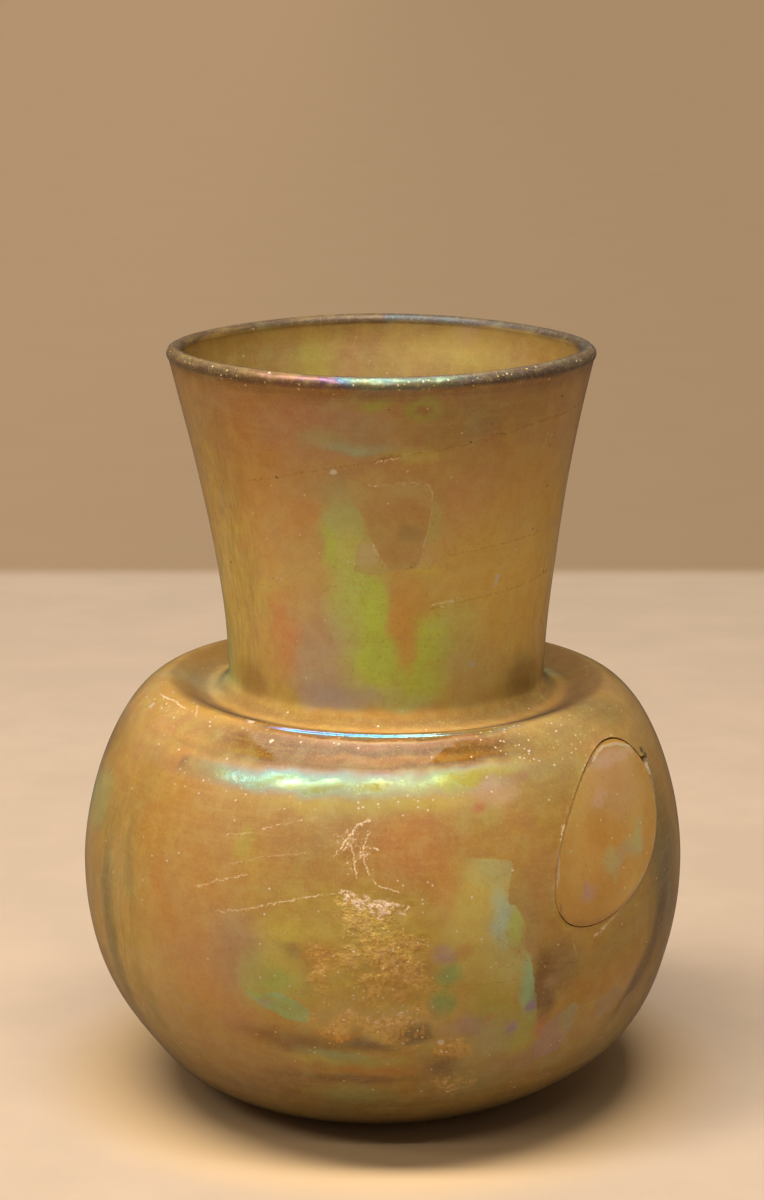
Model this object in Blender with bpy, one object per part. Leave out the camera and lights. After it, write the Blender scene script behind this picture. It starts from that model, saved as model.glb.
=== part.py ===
"""Squat blown-glass bottle with a wide funnel neck.

The vessel is one blown piece: pushed-up base, bulging body, sunken shoulder, flaring neck and
fire-rounded lip. An oval piece of its wall broke out at the right and is set back in the hole, with
an open join all round. Sizes are in metres. The front is -Y, the right is +X, and the origin is on
the axis of the body, on the surface that the bottle stands on.
"""

import math

import bmesh
import bpy
from mathutils import Vector

# Body
HEEL_HEIGHT = 0.0316  # standing surface up to the widest part
SHOULDER_RISE = 0.0250  # widest part up to the crest of the shoulder
BODY_RADIUS = 0.0408
HEEL_ROUNDNESS = 2.08  # exponent of the curve below the widest part; 2 is an ellipse
SHOULDER_ROUNDNESS = 1.77  # the same above it; under 2 is flatter at the corner
CREST_SHARE = 0.41  # place of the crest between the neck's foot and the widest part

# Base
RING_RADIUS = 0.0158  # outer edge of the flat ring that the bottle stands on
RING_WIDTH = 0.0025
KICK_HEIGHT = 0.0048  # how far the underside is pushed up in the middle

# Neck
NECK_HEIGHT = 0.0454  # crest of the shoulder up to the top of the lip
NECK_FOOT_RADIUS = 0.02135
MOUTH_RADIUS = 0.0285  # outermost edge of the lip
NECK_FLARE = 1.52  # exponent of the flare; 1 is a straight cone
FOOT_DIP = 0.0014  # how far the shoulder sinks below its crest, round the neck
FOOT_FILLET = 0.0026

# Glass
BODY_WALL = 0.0022
NECK_WALL = 0.0018
BASE_WALL = 0.0034
LIP_SWELL = 0.00015  # how far the lip's roll stands out from each face of the neck

# What the glassblower's hand left: how far the centre stands to the right of the axis
BASE_SWAY = -0.0009
HEEL_SWAY = 0.0005
NECK_SWAY = 0.0005
MOUTH_SWAY = -0.0002
SHOULDER_TILT = 0.0003  # how far the shoulder drops at the right, and rises at the left
RIM_TILT = 0.0002  # how far the rim rises at the front, and drops at the back
RIM_WAVE = 0.0002  # height of the three low waves in the rim

# Oval piece of wall at the right, and its hole
OVAL_AZIMUTH = math.radians(49.8)  # from the front towards the right
OVAL_RISE = 0.0110  # along the wall, from the widest part up to the oval's middle
OVAL_LENGTH = 0.0282
OVAL_WIDTH = 0.0175
OVAL_ROLL = math.radians(42.3)  # its long axis leans this far up from level
OVAL_BLUNTNESS = 0.12  # how much wider the upper end is than the lower one
JOIN_GAP = 0.0003
PATCH_DISH = 0.0004  # how far its middle lies below the curve of the wall
PATCH_PROUD = 0.00025  # how far its lower right edge stands out, and its upper left edge sinks
CHIP_DEPTH = 0.0015  # the nick in the wall at the join's upper right
CHIP_WIDTH = 0.0030
CHIP_TURN = math.radians(-14)  # from the oval's long axis
CUTTER_REACH = 0.0015  # past both faces of the wall

# Fineness of the model
AROUND = 60
KICK_STEPS = 4
HEEL_STEPS = 9
SHOULDER_STEPS = 9
DIP_STEPS = 3
FILLET_STEPS = 4
NECK_STEPS = 8
LIP_STEPS = 6
OVAL_STEPS = 48
OVAL_RINGS = (0.4, 0.75, 1.0)

AMBER = (0.52, 0.33, 0.12, 1.0)
PATCH_AMBER = (0.55, 0.36, 0.16, 1.0)

CREST_HEIGHT = HEEL_HEIGHT + SHOULDER_RISE
CREASE_HEIGHT = CREST_HEIGHT - FOOT_DIP
TOTAL_HEIGHT = CREST_HEIGHT + NECK_HEIGHT
CREST_RADIUS = NECK_FOOT_RADIUS + CREST_SHARE * (BODY_RADIUS - NECK_FOOT_RADIUS)


def ease(share):
    """A smooth step from 0 to 1."""
    share = min(max(share, 0.0), 1.0)
    return share * share * (3 - 2 * share)


def clear_scene():
    for item in list(bpy.data.objects):
        bpy.data.objects.remove(item, do_unlink=True)


def quadrant(start_radius, turn, roundness, steps, rise):
    """Quarter of a rounded curve, as radii and heights from the widest part to start_radius."""
    points = []
    for step in range(1, steps + 1):
        angle = turn * step / steps
        across = math.cos(angle) ** (2 / roundness)
        along = math.sin(angle) ** (2 / roundness)
        points.append((start_radius + (BODY_RADIUS - start_radius) * across, rise * along))
    return points


def underside():
    """Kick and resting ring, from the middle outwards, as radius, height and wall."""
    inner_edge = RING_RADIUS - RING_WIDTH
    points = []
    for step in range(KICK_STEPS + 1):
        share = step / KICK_STEPS
        height = KICK_HEIGHT * (1 + math.cos(math.pi * share)) / 2
        points.append((inner_edge * share, height, BASE_WALL))
    points.append((RING_RADIUS, 0.0, BASE_WALL))
    return points


def heel():
    """From the resting ring up to the widest part, the wall thinning on the way."""
    quarter = math.pi / 2
    curve = quadrant(RING_RADIUS, quarter, HEEL_ROUNDNESS, HEEL_STEPS, HEEL_HEIGHT)
    curve = list(reversed(curve[:-1])) + [(BODY_RADIUS, 0.0)]
    points = []
    for radius, drop in curve:
        height = HEEL_HEIGHT - drop
        wall = BASE_WALL + (BODY_WALL - BASE_WALL) * ease(2 * height / HEEL_HEIGHT)
        points.append((radius, height, wall))
    return points


def shoulder():
    """From the widest part up to the crest."""
    quarter = math.pi / 2
    curve = quadrant(CREST_RADIUS, quarter, SHOULDER_ROUNDNESS, SHOULDER_STEPS, SHOULDER_RISE)
    return [(radius, HEEL_HEIGHT + rise, BODY_WALL) for radius, rise in curve]


def neck_foot():
    """From the crest down into the dip and round the fillet to the foot of the neck."""
    points = []
    fillet_edge = NECK_FOOT_RADIUS + FOOT_FILLET
    for step in range(1, DIP_STEPS + 1):
        share = step / DIP_STEPS
        radius = CREST_RADIUS + (fillet_edge - CREST_RADIUS) * share
        height = CREST_HEIGHT - FOOT_DIP * (1 - math.cos(math.pi * share)) / 2
        points.append((radius, height, BODY_WALL))
    for step in range(1, FILLET_STEPS + 1):
        share = step / FILLET_STEPS
        angle = math.pi / 2 * share
        radius = fillet_edge - FOOT_FILLET * math.sin(angle)
        height = CREASE_HEIGHT + FOOT_FILLET * (1 - math.cos(angle))
        points.append((radius, height, BODY_WALL + (NECK_WALL - BODY_WALL) * share))
    return points


def lip_roll():
    """Radius of the lip's roll, the neck's slope there and how far the roll's middle stands above
    the end of the wall."""
    roll = NECK_WALL / 2 + LIP_SWELL
    slope = math.atan2(NECK_FLARE * (MOUTH_RADIUS - NECK_FOOT_RADIUS), NECK_HEIGHT)
    stand = math.sqrt(roll ** 2 - (NECK_WALL / 2) ** 2)
    return roll, slope, stand


def neck():
    """From the foot up to where the wall meets the lip's roll."""
    roll, slope, stand = lip_roll()
    half = NECK_WALL / 2
    top_radius = MOUTH_RADIUS - roll + math.cos(slope) * half - math.sin(slope) * stand
    top = TOTAL_HEIGHT - roll - math.sin(slope) * half - math.cos(slope) * stand
    foot = CREASE_HEIGHT + FOOT_FILLET
    points = []
    for step in range(1, NECK_STEPS + 1):
        share = step / NECK_STEPS
        radius = NECK_FOOT_RADIUS + (top_radius - NECK_FOOT_RADIUS) * share ** NECK_FLARE
        points.append((radius, foot + (top - foot) * share, NECK_WALL))
    return points


def lip():
    """Round the lip, from the neck's outer face over the top to its inner face."""
    roll, slope, stand = lip_roll()
    centre_radius = MOUTH_RADIUS - roll
    centre_height = TOTAL_HEIGHT - roll
    below = math.atan2(stand, NECK_WALL / 2)
    points = []
    for step in range(1, LIP_STEPS):
        angle = -slope - below + (math.pi + 2 * below) * step / LIP_STEPS
        radius = centre_radius + roll * math.cos(angle)
        points.append((radius, centre_height + roll * math.sin(angle)))
    return points


OUTER = underside() + heel() + shoulder() + neck_foot() + neck()
WIDEST_STEP = OUTER.index((BODY_RADIUS, HEEL_HEIGHT, BODY_WALL))


def outward(step):
    """The outer face's normal at a point of the outline, as radial and upward shares."""
    last = len(OUTER) - 1
    before = OUTER[max(step - 1, 0)]
    after = OUTER[min(step + 1, last)]
    along_radius = after[0] - before[0]
    along_height = after[1] - before[1]
    if step == 0:
        along_height = 0.0
    length = math.hypot(along_radius, along_height)
    return along_height / length, -along_radius / length


def sunk(step, depth):
    """A point of the outline moved into the glass."""
    radial, upward = outward(step)
    radius, height, wall = OUTER[step]
    return radius - radial * depth, height - upward * depth


def inner_outline():
    """The inner face, from the neck's top down to the middle of the floor."""
    steps = list(range(len(OUTER) - 1, 0, -2)) + [0]
    return [sunk(step, OUTER[step][2]) for step in steps]


def sway(height):
    """How far the centre stands to the right of the axis at this height."""
    stations = (
        (0.0, BASE_SWAY),
        (0.30 * HEEL_HEIGHT, HEEL_SWAY),
        (0.65 * HEEL_HEIGHT, 0.0),
        (HEEL_HEIGHT, 0.0),
        (CREST_HEIGHT + 0.15 * NECK_HEIGHT, NECK_SWAY),
        (TOTAL_HEIGHT, MOUTH_SWAY),
    )
    for (low, start), (high, end) in zip(stations, stations[1:]):
        if height <= high:
            return start + (end - start) * ease((height - low) / (high - low))
    return MOUTH_SWAY


def handmade(azimuth, radius, height):
    """A point of the true turned form, moved to where the blown form has it."""
    up_shoulder = ease((height - HEEL_HEIGHT) / SHOULDER_RISE)
    up_neck = ease((height - CREST_HEIGHT) / NECK_HEIGHT)
    right = math.sin(azimuth)
    tilt = -SHOULDER_TILT * right * up_shoulder * (1 - up_neck) * radius / BODY_RADIUS
    rim = up_neck * (RIM_TILT * math.cos(azimuth) - RIM_WAVE * math.cos(3 * azimuth))
    x = radius * right + sway(height)
    y = -radius * math.cos(azimuth)
    return Vector((x, y, height + tilt + rim))


def outline_at(distance, depth):
    """Radius and height at this distance along the wall from the widest part, at this depth."""
    step = WIDEST_STEP
    way = 1 if distance >= 0 else -1
    left = abs(distance)
    while True:
        here, there = OUTER[step], OUTER[step + way]
        length = math.hypot(there[0] - here[0], there[1] - here[1])
        if left <= length:
            break
        left -= length
        step += way
    share = left / length
    near = sunk(step, depth)
    far = sunk(step + way, depth)
    return near[0] + (far[0] - near[0]) * share, near[1] + (far[1] - near[1]) * share


def oval_offset(turn, share, shrink, chipped):
    """Sideways and upward offsets from the oval's middle, along the wall."""
    half_length = OVAL_LENGTH / 2 - shrink
    half_width = OVAL_WIDTH / 2 - shrink
    along = half_length * math.cos(turn)
    across = half_width * math.sin(turn) * (1 + OVAL_BLUNTNESS * math.cos(turn))
    if chipped:
        off = (turn - CHIP_TURN + math.pi) % (2 * math.pi) - math.pi
        reach = abs(off) * half_length / CHIP_WIDTH
        along += CHIP_DEPTH * (1 - ease(reach))
    sideways = along * math.cos(OVAL_ROLL) - across * math.sin(OVAL_ROLL)
    upward = along * math.sin(OVAL_ROLL) + across * math.cos(OVAL_ROLL)
    return sideways * share, upward * share


def oval_point(turn, share, depth, shrink=0.0, chipped=False):
    """A point on a ring of the oval, share of the way from its middle to its edge."""
    sideways, upward = oval_offset(turn, share, shrink, chipped)
    azimuth = OVAL_AZIMUTH + sideways / outline_at(OVAL_RISE, 0.0)[0]
    return handmade(azimuth, *outline_at(OVAL_RISE + upward, depth))


def material(name, colour, roughness):
    made = bpy.data.materials.new(name)
    made.use_nodes = True
    shader = made.node_tree.nodes["Principled BSDF"]
    shader.inputs["Base Color"].default_value = colour
    shader.inputs["Roughness"].default_value = roughness
    shader.inputs["Metallic"].default_value = 0.0
    shader.inputs["Transmission Weight"].default_value = 0.6
    made.diffuse_color = colour
    return made


def new_object(name, shape, finish=None):
    """Turns a bmesh into an object of this name."""
    bmesh.ops.recalc_face_normals(shape, faces=shape.faces)
    mesh = bpy.data.meshes.new(name)
    shape.to_mesh(mesh)
    shape.free()
    made = bpy.data.objects.new(name, mesh)
    bpy.context.scene.collection.objects.link(made)
    if finish:
        mesh.materials.append(finish)
        mesh.shade_smooth()
        mesh.set_sharp_from_angle(angle=math.radians(40))
    return made


def oval_solid(name, levels, rings, finish=None, **edge):
    """A plate between two depths of the wall, as rings of the oval. The levels give each face's
    depth from its turn and its share of the way to the edge."""
    shape = bmesh.new()
    faces = []
    for level in levels:
        middle = shape.verts.new(oval_point(0.0, 0.0, level(0.0, 0.0), **edge))
        loops = []
        for share in rings:
            loop = []
            for step in range(OVAL_STEPS):
                turn = 2 * math.pi * step / OVAL_STEPS
                place = oval_point(turn, share, level(turn, share), **edge)
                loop.append(shape.verts.new(place))
            loops.append(loop)
        for step in range(OVAL_STEPS):
            following = (step + 1) % OVAL_STEPS
            shape.faces.new((middle, loops[0][step], loops[0][following]))
            for low, high in zip(loops, loops[1:]):
                shape.faces.new((low[step], high[step], high[following], low[following]))
        faces.append(loops[-1])
    front, back = faces
    for step in range(OVAL_STEPS):
        following = (step + 1) % OVAL_STEPS
        shape.faces.new((front[step], back[step], back[following], front[following]))
    return new_object(name, shape, finish)


def patch_depth(turn, share):
    """How far the oval piece's outer face lies below the wall's."""
    dish = PATCH_DISH * (1 - share * share)
    return dish + PATCH_PROUD * math.sin(turn) * share


def vessel(finish):
    """The bottle, spun from one outline and moved to its handmade form."""
    outline = [point[:2] for point in OUTER] + lip() + inner_outline()
    shape = bmesh.new()
    chain = [shape.verts.new((radius, 0.0, height)) for radius, height in outline]
    edges = [shape.edges.new(pair) for pair in zip(chain, chain[1:])]
    bmesh.ops.spin(
        shape,
        geom=chain + edges,
        cent=(0.0, 0.0, 0.0),
        axis=(0.0, 0.0, 1.0),
        angle=2 * math.pi,
        steps=AROUND,
        use_merge=True,
    )
    bmesh.ops.remove_doubles(shape, verts=shape.verts, dist=0.000001)
    for vert in shape.verts:
        azimuth = math.atan2(vert.co.x, -vert.co.y)
        vert.co = handmade(azimuth, math.hypot(vert.co.x, vert.co.y), vert.co.z)
    return new_object("bottle", shape, finish)


def cut_oval_hole(bottle):
    """Opens the wall where the oval piece sits."""
    cutter = oval_solid(
        "oval_hole_cutter",
        (
            lambda turn, share: -CUTTER_REACH,
            lambda turn, share: BODY_WALL + CUTTER_REACH,
        ),
        (1.0,),
        chipped=True,
    )
    cutter.hide_render = True
    cutter.display_type = "WIRE"
    hole = bottle.modifiers.new("oval hole", "BOOLEAN")
    hole.operation = "DIFFERENCE"
    hole.solver = "EXACT"
    hole.object = cutter


def main():
    clear_scene()
    bottle = vessel(material("amber glass", AMBER, 0.28))
    cut_oval_hole(bottle)
    oval_solid(
        "oval_patch",
        (patch_depth, lambda turn, share: patch_depth(turn, share) + BODY_WALL),
        OVAL_RINGS,
        material("patch glass", PATCH_AMBER, 0.45),
        shrink=JOIN_GAP,
    )


main()
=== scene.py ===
"""Dresses the weathered amber glass bottle and stands it in a plain studio.

Sizes are in metres unless a name says otherwise. The front is -Y, the right is +X and up is +Z, as in
the frame. A place on the glass is given as its azimuth, in degrees from the front towards the right,
and its rise, in millimetres along the wall upwards from the widest part of the body: the middle of the
base is about -44, the shoulder's crest 28, the dip round the neck's foot 35 and the lip 83.
"""

import logging
import math
from dataclasses import dataclass
from enum import Enum
from typing import Callable

import bmesh
import bpy
import numpy as np
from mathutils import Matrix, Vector, noise


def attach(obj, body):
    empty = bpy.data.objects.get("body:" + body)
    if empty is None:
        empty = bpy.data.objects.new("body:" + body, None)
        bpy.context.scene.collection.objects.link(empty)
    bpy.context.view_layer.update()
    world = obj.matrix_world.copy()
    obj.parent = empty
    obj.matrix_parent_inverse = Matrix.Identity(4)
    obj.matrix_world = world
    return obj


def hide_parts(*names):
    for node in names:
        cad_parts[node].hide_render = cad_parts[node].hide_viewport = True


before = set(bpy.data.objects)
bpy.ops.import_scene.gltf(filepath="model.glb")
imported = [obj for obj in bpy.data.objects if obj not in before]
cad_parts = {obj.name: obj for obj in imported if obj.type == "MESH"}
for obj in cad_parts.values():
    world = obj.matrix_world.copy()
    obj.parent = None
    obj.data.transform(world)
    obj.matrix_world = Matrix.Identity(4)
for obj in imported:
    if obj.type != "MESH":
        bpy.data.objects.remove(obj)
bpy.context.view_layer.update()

log = logging.getLogger("bottle")

Colour = tuple[float, float, float, float]
Point = tuple[float, float]
Size = tuple[float, float, float]
DepthRule = Callable[[float, float, float], float]
Socket = bpy.types.NodeSocket
Value = Socket | float

MM = 0.001
UNROLL_BATCH = 4096
SHARP_ANGLE = math.radians(40)
MERGE_DISTANCE = 0.000001
CLOUD_SHIFT = (7.3, 3.1, 5.7)
SKIN_DEPTH = 1.15
SKIN_FADE = 0.5
FAR = 9.0
UNREACHED = 1e6
FLAKE_REACH = 1.6
LINE_REACH = 2.0
LINE_FADE = 0.8
LINE_TIP = 0.5
DOT_REACH = 1.6
DOT_FADE = 0.6


def ease(share: float) -> float:
    """A smooth step from 0 to 1."""
    share = min(max(share, 0.0), 1.0)
    return share * share * (3 - 2 * share)


def eased(shares: np.ndarray) -> np.ndarray:
    """A smooth step from 0 to 1, for many values."""
    shares = np.clip(shares, 0.0, 1.0)
    return shares * shares * (3 - 2 * shares)


def between(draw: np.random.RandomState, low: float, high: float) -> float:
    """Draws a number between two bounds."""
    return low + (high - low) * draw.rand()


def tone(code: str) -> Colour:
    """Turns a paint code such as "c89a55" into linear colour.

    Args:
        code: Red, green and blue as six hexadecimal digits.

    Returns:
        The colour with an alpha of 1.
    """
    channels = []
    for start in (0, 2, 4):
        share = int(code[start:start + 2], 16) / 255
        channels.append(share / 12.92 if share <= 0.04045 else ((share + 0.055) / 1.055) ** 2.4)
    return channels[0], channels[1], channels[2], 1.0


class Tone(Enum):
    """The paints, by the names that the glass suggests."""

    AMBER = "c2923f"
    PALE_AMBER = "cda452"
    ORANGE = "cc8a34"
    DEEP_AMBER = "b27c2e"
    BROWN = "8a5f2c"
    UMBER = "5e3f20"
    PLUM = "463024"
    OLIVE = "a0883e"
    MOSS = "7c6a30"
    STRAW = "d2be54"
    LIME = "b6c03a"
    SAGE = "b4b274"
    GREEN = "90b258"
    MINT = "9fd6a0"
    CYAN = "a4d2c8"
    STONE = "b89c70"
    MAUVE = "c4966c"
    ROSE = "cc8c6c"
    CORAL = "cc7650"
    LILAC = "b48e90"
    VIOLET = "a082b0"
    IVORY = "e8d6b4"
    BLUSH = "d8b49c"

    @property
    def colour(self) -> Colour:
        """The paint as linear colour."""
        return tone(self.value)


class Side(Enum):
    """Which face of the wall a stain lies on."""

    OUTER = "outer"
    INNER = "inner"


@dataclass(frozen=True)
class Station:
    """One point of the outer outline and the thickness of the wall there."""

    radius: float
    height: float
    wall: float


@dataclass(frozen=True)
class Outline:
    """The bottle's outline, from the middle of its underside up to its lip."""

    heel_height: float = 0.0316
    shoulder_rise: float = 0.0250
    body_radius: float = 0.0408
    heel_roundness: float = 2.08
    shoulder_roundness: float = 1.77
    crest_share: float = 0.41
    ring_radius: float = 0.0158
    ring_width: float = 0.0025
    kick_height: float = 0.0048
    neck_height: float = 0.04536
    neck_foot_radius: float = 0.02135
    mouth_radius: float = 0.0285
    neck_flare: float = 1.52
    foot_dip: float = 0.0014
    foot_fillet: float = 0.0026
    body_wall: float = 0.0022
    neck_wall: float = 0.0018
    base_wall: float = 0.0034
    lip_swell: float = 0.00015
    base_sway: float = -0.0009
    heel_sway: float = 0.0005
    neck_sway: float = 0.0005
    mouth_sway: float = -0.0002
    shoulder_tilt: float = 0.0003
    rim_tilt: float = 0.0002
    rim_wave: float = 0.0002
    kick_steps: int = 24
    heel_steps: int = 84
    shoulder_steps: int = 62
    dip_steps: int = 14
    fillet_steps: int = 10
    neck_steps: int = 78
    lip_steps: int = 18
    inner_stride: int = 6

    @property
    def crest_height(self) -> float:
        """Height of the shoulder's crest."""
        return self.heel_height + self.shoulder_rise

    @property
    def crease_height(self) -> float:
        """Height of the dip round the foot of the neck."""
        return self.crest_height - self.foot_dip

    @property
    def total_height(self) -> float:
        """Height of the top of the lip."""
        return self.crest_height + self.neck_height

    @property
    def crest_radius(self) -> float:
        """Radius of the shoulder's crest."""
        reach = self.body_radius - self.neck_foot_radius
        return self.neck_foot_radius + self.crest_share * reach

    def quadrant(self, start: float, roundness: float, steps: int, rise: float) -> list[Point]:
        """A quarter of a rounded curve.

        Args:
            start: The radius that the curve ends at.
            roundness: Exponent of the curve; 2 is an ellipse.
            steps: How many points it has.
            rise: Its height.

        Returns:
            Radii, and heights from the widest part.
        """
        points = []
        for step in range(1, steps + 1):
            angle = math.pi / 2 * step / steps
            across = max(math.cos(angle), 0.0) ** (2 / roundness)
            along = math.sin(angle) ** (2 / roundness)
            points.append((start + (self.body_radius - start) * across, rise * along))
        return points

    def underside(self) -> list[Station]:
        """The kick and the resting ring, from the middle outwards."""
        inner_edge = self.ring_radius - self.ring_width
        points = []
        for step in range(self.kick_steps + 1):
            share = step / self.kick_steps
            height = self.kick_height * (1 + math.cos(math.pi * share)) / 2
            points.append(Station(inner_edge * share, height, self.base_wall))
        points.append(Station(self.ring_radius - self.ring_width / 2, 0.0, self.base_wall))
        points.append(Station(self.ring_radius, 0.0, self.base_wall))
        return points

    def heel(self) -> list[Station]:
        """From the resting ring up to the widest part, the wall thinning on the way."""
        curve = self.quadrant(self.ring_radius, self.heel_roundness, self.heel_steps, self.heel_height)
        curve = list(reversed(curve[:-1])) + [(self.body_radius, 0.0)]
        points = []
        for radius, drop in curve:
            height = self.heel_height - drop
            thinning = ease(2 * height / self.heel_height)
            wall = self.base_wall + (self.body_wall - self.base_wall) * thinning
            points.append(Station(radius, height, wall))
        return points

    def shoulder(self) -> list[Station]:
        """From the widest part up to the crest."""
        curve = self.quadrant(
            self.crest_radius, self.shoulder_roundness, self.shoulder_steps, self.shoulder_rise
        )
        return [Station(radius, self.heel_height + rise, self.body_wall) for radius, rise in curve]

    def neck_foot(self) -> list[Station]:
        """From the crest down into the dip and round the fillet to the foot of the neck."""
        points = []
        fillet_edge = self.neck_foot_radius + self.foot_fillet
        for step in range(1, self.dip_steps + 1):
            share = step / self.dip_steps
            radius = self.crest_radius + (fillet_edge - self.crest_radius) * share
            height = self.crest_height - self.foot_dip * (1 - math.cos(math.pi * share)) / 2
            points.append(Station(radius, height, self.body_wall))
        for step in range(1, self.fillet_steps + 1):
            share = step / self.fillet_steps
            angle = math.pi / 2 * share
            radius = fillet_edge - self.foot_fillet * math.sin(angle)
            height = self.crease_height + self.foot_fillet * (1 - math.cos(angle))
            wall = self.body_wall + (self.neck_wall - self.body_wall) * share
            points.append(Station(radius, height, wall))
        return points

    def lip_roll(self) -> tuple[float, float, float]:
        """Radius of the lip's roll, the neck's slope there, and how far the roll's middle stands above
        the end of the wall."""
        roll = self.neck_wall / 2 + self.lip_swell
        run = self.neck_flare * (self.mouth_radius - self.neck_foot_radius)
        slope = math.atan2(run, self.neck_height)
        stand = math.sqrt(roll ** 2 - (self.neck_wall / 2) ** 2)
        return roll, slope, stand

    def neck(self) -> list[Station]:
        """From the foot up to where the wall meets the lip's roll."""
        roll, slope, stand = self.lip_roll()
        half = self.neck_wall / 2
        top_radius = self.mouth_radius - roll + math.cos(slope) * half - math.sin(slope) * stand
        top = self.total_height - roll - math.sin(slope) * half - math.cos(slope) * stand
        foot = self.crease_height + self.foot_fillet
        reach = top_radius - self.neck_foot_radius
        points = []
        for step in range(1, self.neck_steps + 1):
            share = step / self.neck_steps
            radius = self.neck_foot_radius + reach * share ** self.neck_flare
            points.append(Station(radius, foot + (top - foot) * share, self.neck_wall))
        return points

    def lip(self) -> list[Point]:
        """Round the lip, from the neck's outer face over the top to its inner face."""
        roll, slope, stand = self.lip_roll()
        below = math.atan2(stand, self.neck_wall / 2)
        points = []
        for step in range(1, self.lip_steps):
            angle = -slope - below + (math.pi + 2 * below) * step / self.lip_steps
            radius = self.mouth_radius - roll + roll * math.cos(angle)
            points.append((radius, self.total_height - roll + roll * math.sin(angle)))
        return points

    def outer(self) -> list[Station]:
        """The whole outer face, from the middle of the underside to the lip."""
        return self.underside() + self.heel() + self.shoulder() + self.neck_foot() + self.neck()

    def sway(self, height: float) -> float:
        """How far the centre stands to the right of the axis at this height."""
        stations = (
            (0.0, self.base_sway),
            (0.30 * self.heel_height, self.heel_sway),
            (0.65 * self.heel_height, 0.0),
            (self.heel_height, 0.0),
            (self.crest_height + 0.15 * self.neck_height, self.neck_sway),
            (self.total_height, self.mouth_sway),
        )
        for (low, start), (high, end) in zip(stations, stations[1:]):
            if height <= high:
                return start + (end - start) * ease((height - low) / (high - low))
        return self.mouth_sway

    def handmade(self, azimuth: float, radius: float, height: float) -> Vector:
        """Moves a point of the true turned form to where the blown form has it.

        Args:
            azimuth: Radians from the front towards the right.
            radius: Distance from the axis.
            height: Height above the surface that the bottle stands on.

        Returns:
            The point's place.
        """
        up_shoulder = ease((height - self.heel_height) / self.shoulder_rise)
        up_neck = ease((height - self.crest_height) / self.neck_height)
        right = math.sin(azimuth)
        tilt = -self.shoulder_tilt * right * up_shoulder * (1 - up_neck) * radius / self.body_radius
        wave = self.rim_tilt * math.cos(azimuth) - self.rim_wave * math.cos(3 * azimuth)
        x = radius * right + self.sway(height)
        return Vector((x, -radius * math.cos(azimuth), height + tilt + up_neck * wave))


class Wall:
    """The outline as a wall: its two faces, and distances along it."""

    def __init__(self, outline: Outline) -> None:
        """Works out the outer face's stations, normals and distances along it.

        Args:
            outline: The bottle's outline.
        """
        self.outline = outline
        self.stations = outline.outer()
        places = np.array([(s.radius, s.height) for s in self.stations])
        ahead = np.vstack([places[1:], places[-1:]])
        behind = np.vstack([places[:1], places[:-1]])
        way = ahead - behind
        way[0, 1] = 0.0
        way /= np.linalg.norm(way, axis=1)[:, None]
        self.places = places
        self.normals = np.stack([way[:, 1], -way[:, 0]], axis=1)
        lengths = np.linalg.norm(np.diff(places, axis=0), axis=1)
        along = np.concatenate([[0.0], np.cumsum(lengths)])
        self.rises = along - along[int(np.argmax(places[:, 0]))]

    def at(self, rise: float, depth: float) -> Point:
        """Radius and height at this rise along the wall, in metres, and this depth in the glass."""
        sunk = self.places - self.normals * depth
        radius = np.interp(rise, self.rises, sunk[:, 0])
        height = np.interp(rise, self.rises, sunk[:, 1])
        return float(radius), float(height)

    def unroll(self, radii: np.ndarray, heights: np.ndarray) -> tuple[np.ndarray, np.ndarray]:
        """Where places given by radius and height lie on the wall.

        Args:
            radii: Distances from the axis, in metres.
            heights: Heights, in metres.

        Returns:
            Their rises along the wall and their depths below its outer face, in millimetres.
        """
        spots = np.stack([radii, heights], axis=1)
        ways = np.stack([-self.normals[:, 1], self.normals[:, 0]], axis=1)
        rises = np.empty(len(spots))
        depths = np.empty(len(spots))
        for start in range(0, len(spots), UNROLL_BATCH):
            part = slice(start, start + UNROLL_BATCH)
            gaps = spots[part, None, :] - self.places[None, :, :]
            nearest = np.argmin((gaps ** 2).sum(axis=2), axis=1)
            gap = gaps[np.arange(len(nearest)), nearest]
            rises[part] = self.rises[nearest] + (gap * ways[nearest]).sum(axis=1)
            depths[part] = -(gap * self.normals[nearest]).sum(axis=1)
        return rises / MM, depths / MM

    def inner(self) -> list[Point]:
        """The inner face, from the neck's top down to the middle of the floor."""
        last = len(self.stations) - 1
        steps = list(range(last, 0, -self.outline.inner_stride)) + [0]
        points = []
        for step in steps:
            sunk = self.places[step] - self.normals[step] * self.stations[step].wall
            points.append((float(sunk[0]), float(sunk[1])))
        points[-1] = (0.0, points[-1][1])
        return points


def new_object(name: str, shape: bmesh.types.BMesh) -> bpy.types.Object:
    """Turns a bmesh into an object of this name, shaded smooth with crisp edges.

    Args:
        name: The object's name.
        shape: The mesh to take; it is freed.

    Returns:
        The object, linked to the scene.
    """
    bmesh.ops.recalc_face_normals(shape, faces=shape.faces)
    mesh = bpy.data.meshes.new(name)
    shape.to_mesh(mesh)
    shape.free()
    made = bpy.data.objects.new(name, mesh)
    bpy.context.scene.collection.objects.link(made)
    mesh.shade_smooth()
    mesh.set_sharp_from_angle(angle=SHARP_ANGLE)
    return made


def spin_outline(shape: bmesh.types.BMesh, outline: list[Point], steps: int) -> None:
    """Spins an outline of radii and heights once round +Z and closes its seam and poles.

    Args:
        shape: The bmesh to add to.
        outline: The points, from pole to pole.
        steps: How many columns the turn has.
    """
    chain = [shape.verts.new((radius, 0.0, height)) for radius, height in outline]
    edges = [shape.edges.new(pair) for pair in zip(chain, chain[1:])]
    bmesh.ops.spin(
        shape,
        geom=chain + edges,
        cent=(0.0, 0.0, 0.0),
        axis=(0.0, 0.0, 1.0),
        angle=2 * math.pi,
        steps=steps,
        use_merge=True,
    )
    bmesh.ops.remove_doubles(shape, verts=shape.verts, dist=MERGE_DISTANCE)


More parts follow.
